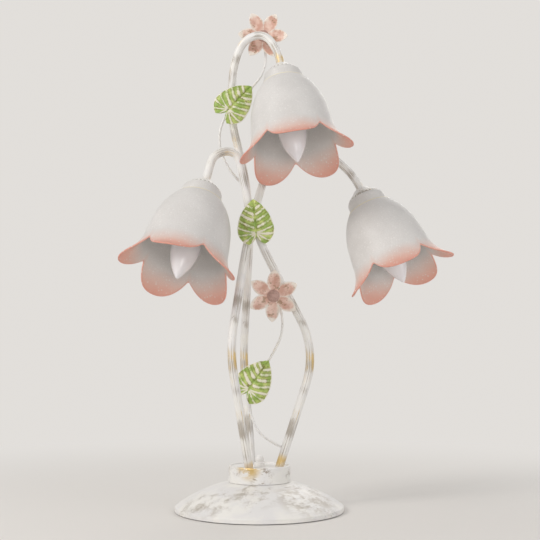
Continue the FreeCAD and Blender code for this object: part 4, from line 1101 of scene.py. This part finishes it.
# Painted shade: a darker olive along the flanks of each raised vein.
vein_flank_shade = math_of(tree, "MULTIPLY", ramp(tree, raised, 0.02, 0.25), ramp(tree, raised, 0.75, 0.3))
colour = mixed(tree, scaled(tree, vein_flank_shade, 0.55), colour, OLIVE)
colour = mixed(tree, scaled(tree, dirt, 0.75), colour, OLIVE)
colour = mixed(tree, scaled(tree, ramp(tree, brushed, 0.36, 0.85), 0.94), colour, CREAM)
tree.links.new(colour, shader.inputs["Base Color"])
tree.links.new(ramp(tree, fine, 0.3, 0.7, 0.34, 0.5), shader.inputs["Roughness"])
bumped(tree, shader, fine, 0.07)
leaf.data.materials.append(leaf_enamel)
LEAF_PLACES = {
    "top": ((-38.5, 4.9, 486.8), 46.8),
    "middle": ((-4.2, -20.9, 329.5), 95.0),
    "bottom": ((-12.1, -9.2, 142.9), 55.9),
}
for name, (place, swing) in LEAF_PLACES.items():
    blade = copy_into(leaf, f"veined_leaf_{name}", front_matrix(place, swing))
    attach(blade, "root")
    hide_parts(f"leaf_{name}")
put_away(leaf)
print("leaves set:", list(LEAF_PLACES))

# %% [markdown]
# ## Flowers
# Each flower is one pressed sheet with six pointed petals, cupped to the front, and a domed
# button riveted over the middle. A petal is a grid again, with a hollow down its centre and
# softly raised edges, so that the pink paint stays in the hollow and the cream brush catches
# the edges and the tips.

# %% Flower shape
FLOWER_PETALS = 6
PETAL_ROOT = 4.0
PETAL_WIDEST = (19.1, 8.6)
PETAL_TIP = 31.5
PETAL_ROOT_BEND = 14.2
PETAL_TIP_BEND = 17.3
FLOWER_CROWN = 100.0
FLOWER_COLUMNS = 14
FLOWER_ROWS = 26
DISC_RADIUS = 9.5
DISC_HEIGHT = 0.3


def petal_half_width(reach):
    """Half of a flower petal's width at a distance from the middle."""
    start, end, bend = (PETAL_ROOT, 0.0), PETAL_WIDEST, PETAL_ROOT_BEND
    if reach > PETAL_WIDEST[0]:
        start, end, bend = PETAL_WIDEST, (PETAL_TIP, 0.0), PETAL_TIP_BEND
    centre = arc_centre(start, end, -bend)
    return max(0.0, centre.y + math.sqrt(max(0.0, bend**2 - (reach - centre.x) ** 2)))


def flower_point(across, along):
    side = across * 2 - 1
    share = 0.5 - 0.5 * math.cos(math.pi * along)
    reach = PETAL_ROOT + (PETAL_TIP - PETAL_ROOT) * share
    width = petal_half_width(reach)
    x, y = reach, side * width
    belly = math.sin(math.pi * share)
    edge = abs(side) ** 3
    crease = math.exp(-((side / 0.16) ** 2)) * belly
    belly *= min(1.0, max(0.0, (reach - 9.0) / 5.0))
    lift = 0.9 * belly * edge - 0.5 * crease * belly + 0.35 * belly * math.sin(9 * share + 2.0 * side)
    height = (x * x + y * y) / (2 * FLOWER_CROWN) + lift
    catch = max(edge * 0.9, min(1.0, max(0.0, (share - 0.72) / 0.2))) * (1 - crease * 0.6)
    return Vector((x, y, height)) * MM, catch


flower = shaped_grid("flower", FLOWER_COLUMNS, FLOWER_ROWS, flower_point, "catch")
repeated(flower, FLOWER_PETALS)
bpy.ops.mesh.primitive_circle_add(
    vertices=48, radius=DISC_RADIUS * MM, fill_type="TRIFAN", location=(0, 0, DISC_HEIGHT * MM)
)
disc = named("flower_disc")
bpy.ops.object.transform_apply(location=True, rotation=False, scale=False)
disc.data.attributes.new("catch", "FLOAT_VECTOR", "POINT")
disc.select_set(True)
flower.select_set(True)
bpy.context.view_layer.objects.active = flower
bpy.ops.object.join()
merged(flower, 0.02)
walled(flower, SHEET)
softened(flower)
apply_all(flower)
bpy.ops.object.shade_smooth()
print("flower:", len(flower.data.polygons), "faces")

# %% Flower enamel
ROSE = (0.62, 0.36, 0.28)
PALE_ROSE = (0.80, 0.58, 0.49)
PETAL_CREAM = (0.86, 0.80, 0.72)
flower_enamel, tree, shader, coordinates = new_material("flower_enamel", 0.42)
catch = node(tree, "ShaderNodeAttribute", attribute_name="catch").outputs["Fac"]
cloud = grained(tree, coordinates, 8.0)
fine = grained(tree, coordinates, 1.3)
dirt = streaked(tree, coordinates, 3.5, 2.2, 10.0, 0.62)
brushed = caught(tree, catch, cloud, fine, 1.3, 0.8)
colour = mixed(tree, ramp(tree, cloud, 0.36, 0.64), ROSE, PALE_ROSE)
colour = mixed(tree, scaled(tree, dirt, 0.65), colour, (0.27, 0.17, 0.08))
colour = mixed(tree, scaled(tree, ramp(tree, brushed, 0.20, 0.85), 0.9), colour, PETAL_CREAM)
tree.links.new(colour, shader.inputs["Base Color"])
tree.links.new(ramp(tree, fine, 0.3, 0.7, 0.36, 0.52), shader.inputs["Roughness"])
bumped(tree, shader, fine, 0.07)
flower.data.materials.append(flower_enamel)
FLOWER_PLACES = {"top": ((3.7, 16.6, 583.7), -2.0), "lower": ((16.6, -17.0, 253.3), 27.0)}
for name, (place, swing) in FLOWER_PLACES.items():
    bloom = copy_into(flower, f"bloom_{name}", front_matrix(place, swing))
    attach(bloom, "root")
    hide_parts(f"flower_{name}")
put_away(flower)
button_enamel = plain_stuff("button_enamel", (0.52, 0.33, 0.28), (0.40, 0.25, 0.21), 0.45, 2.2, 0.10)
paint([f"flower_button_{name}" for name in FLOWER_PLACES], button_enamel)
print("flowers set:", list(FLOWER_PLACES))

# %% [markdown]
# ## Finish
# The dressed lamp's size is printed in mm.

# %% Sizes and the end
low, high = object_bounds()
print("dressed size in mm:", [round(side / MM, 1) for side in high - low])
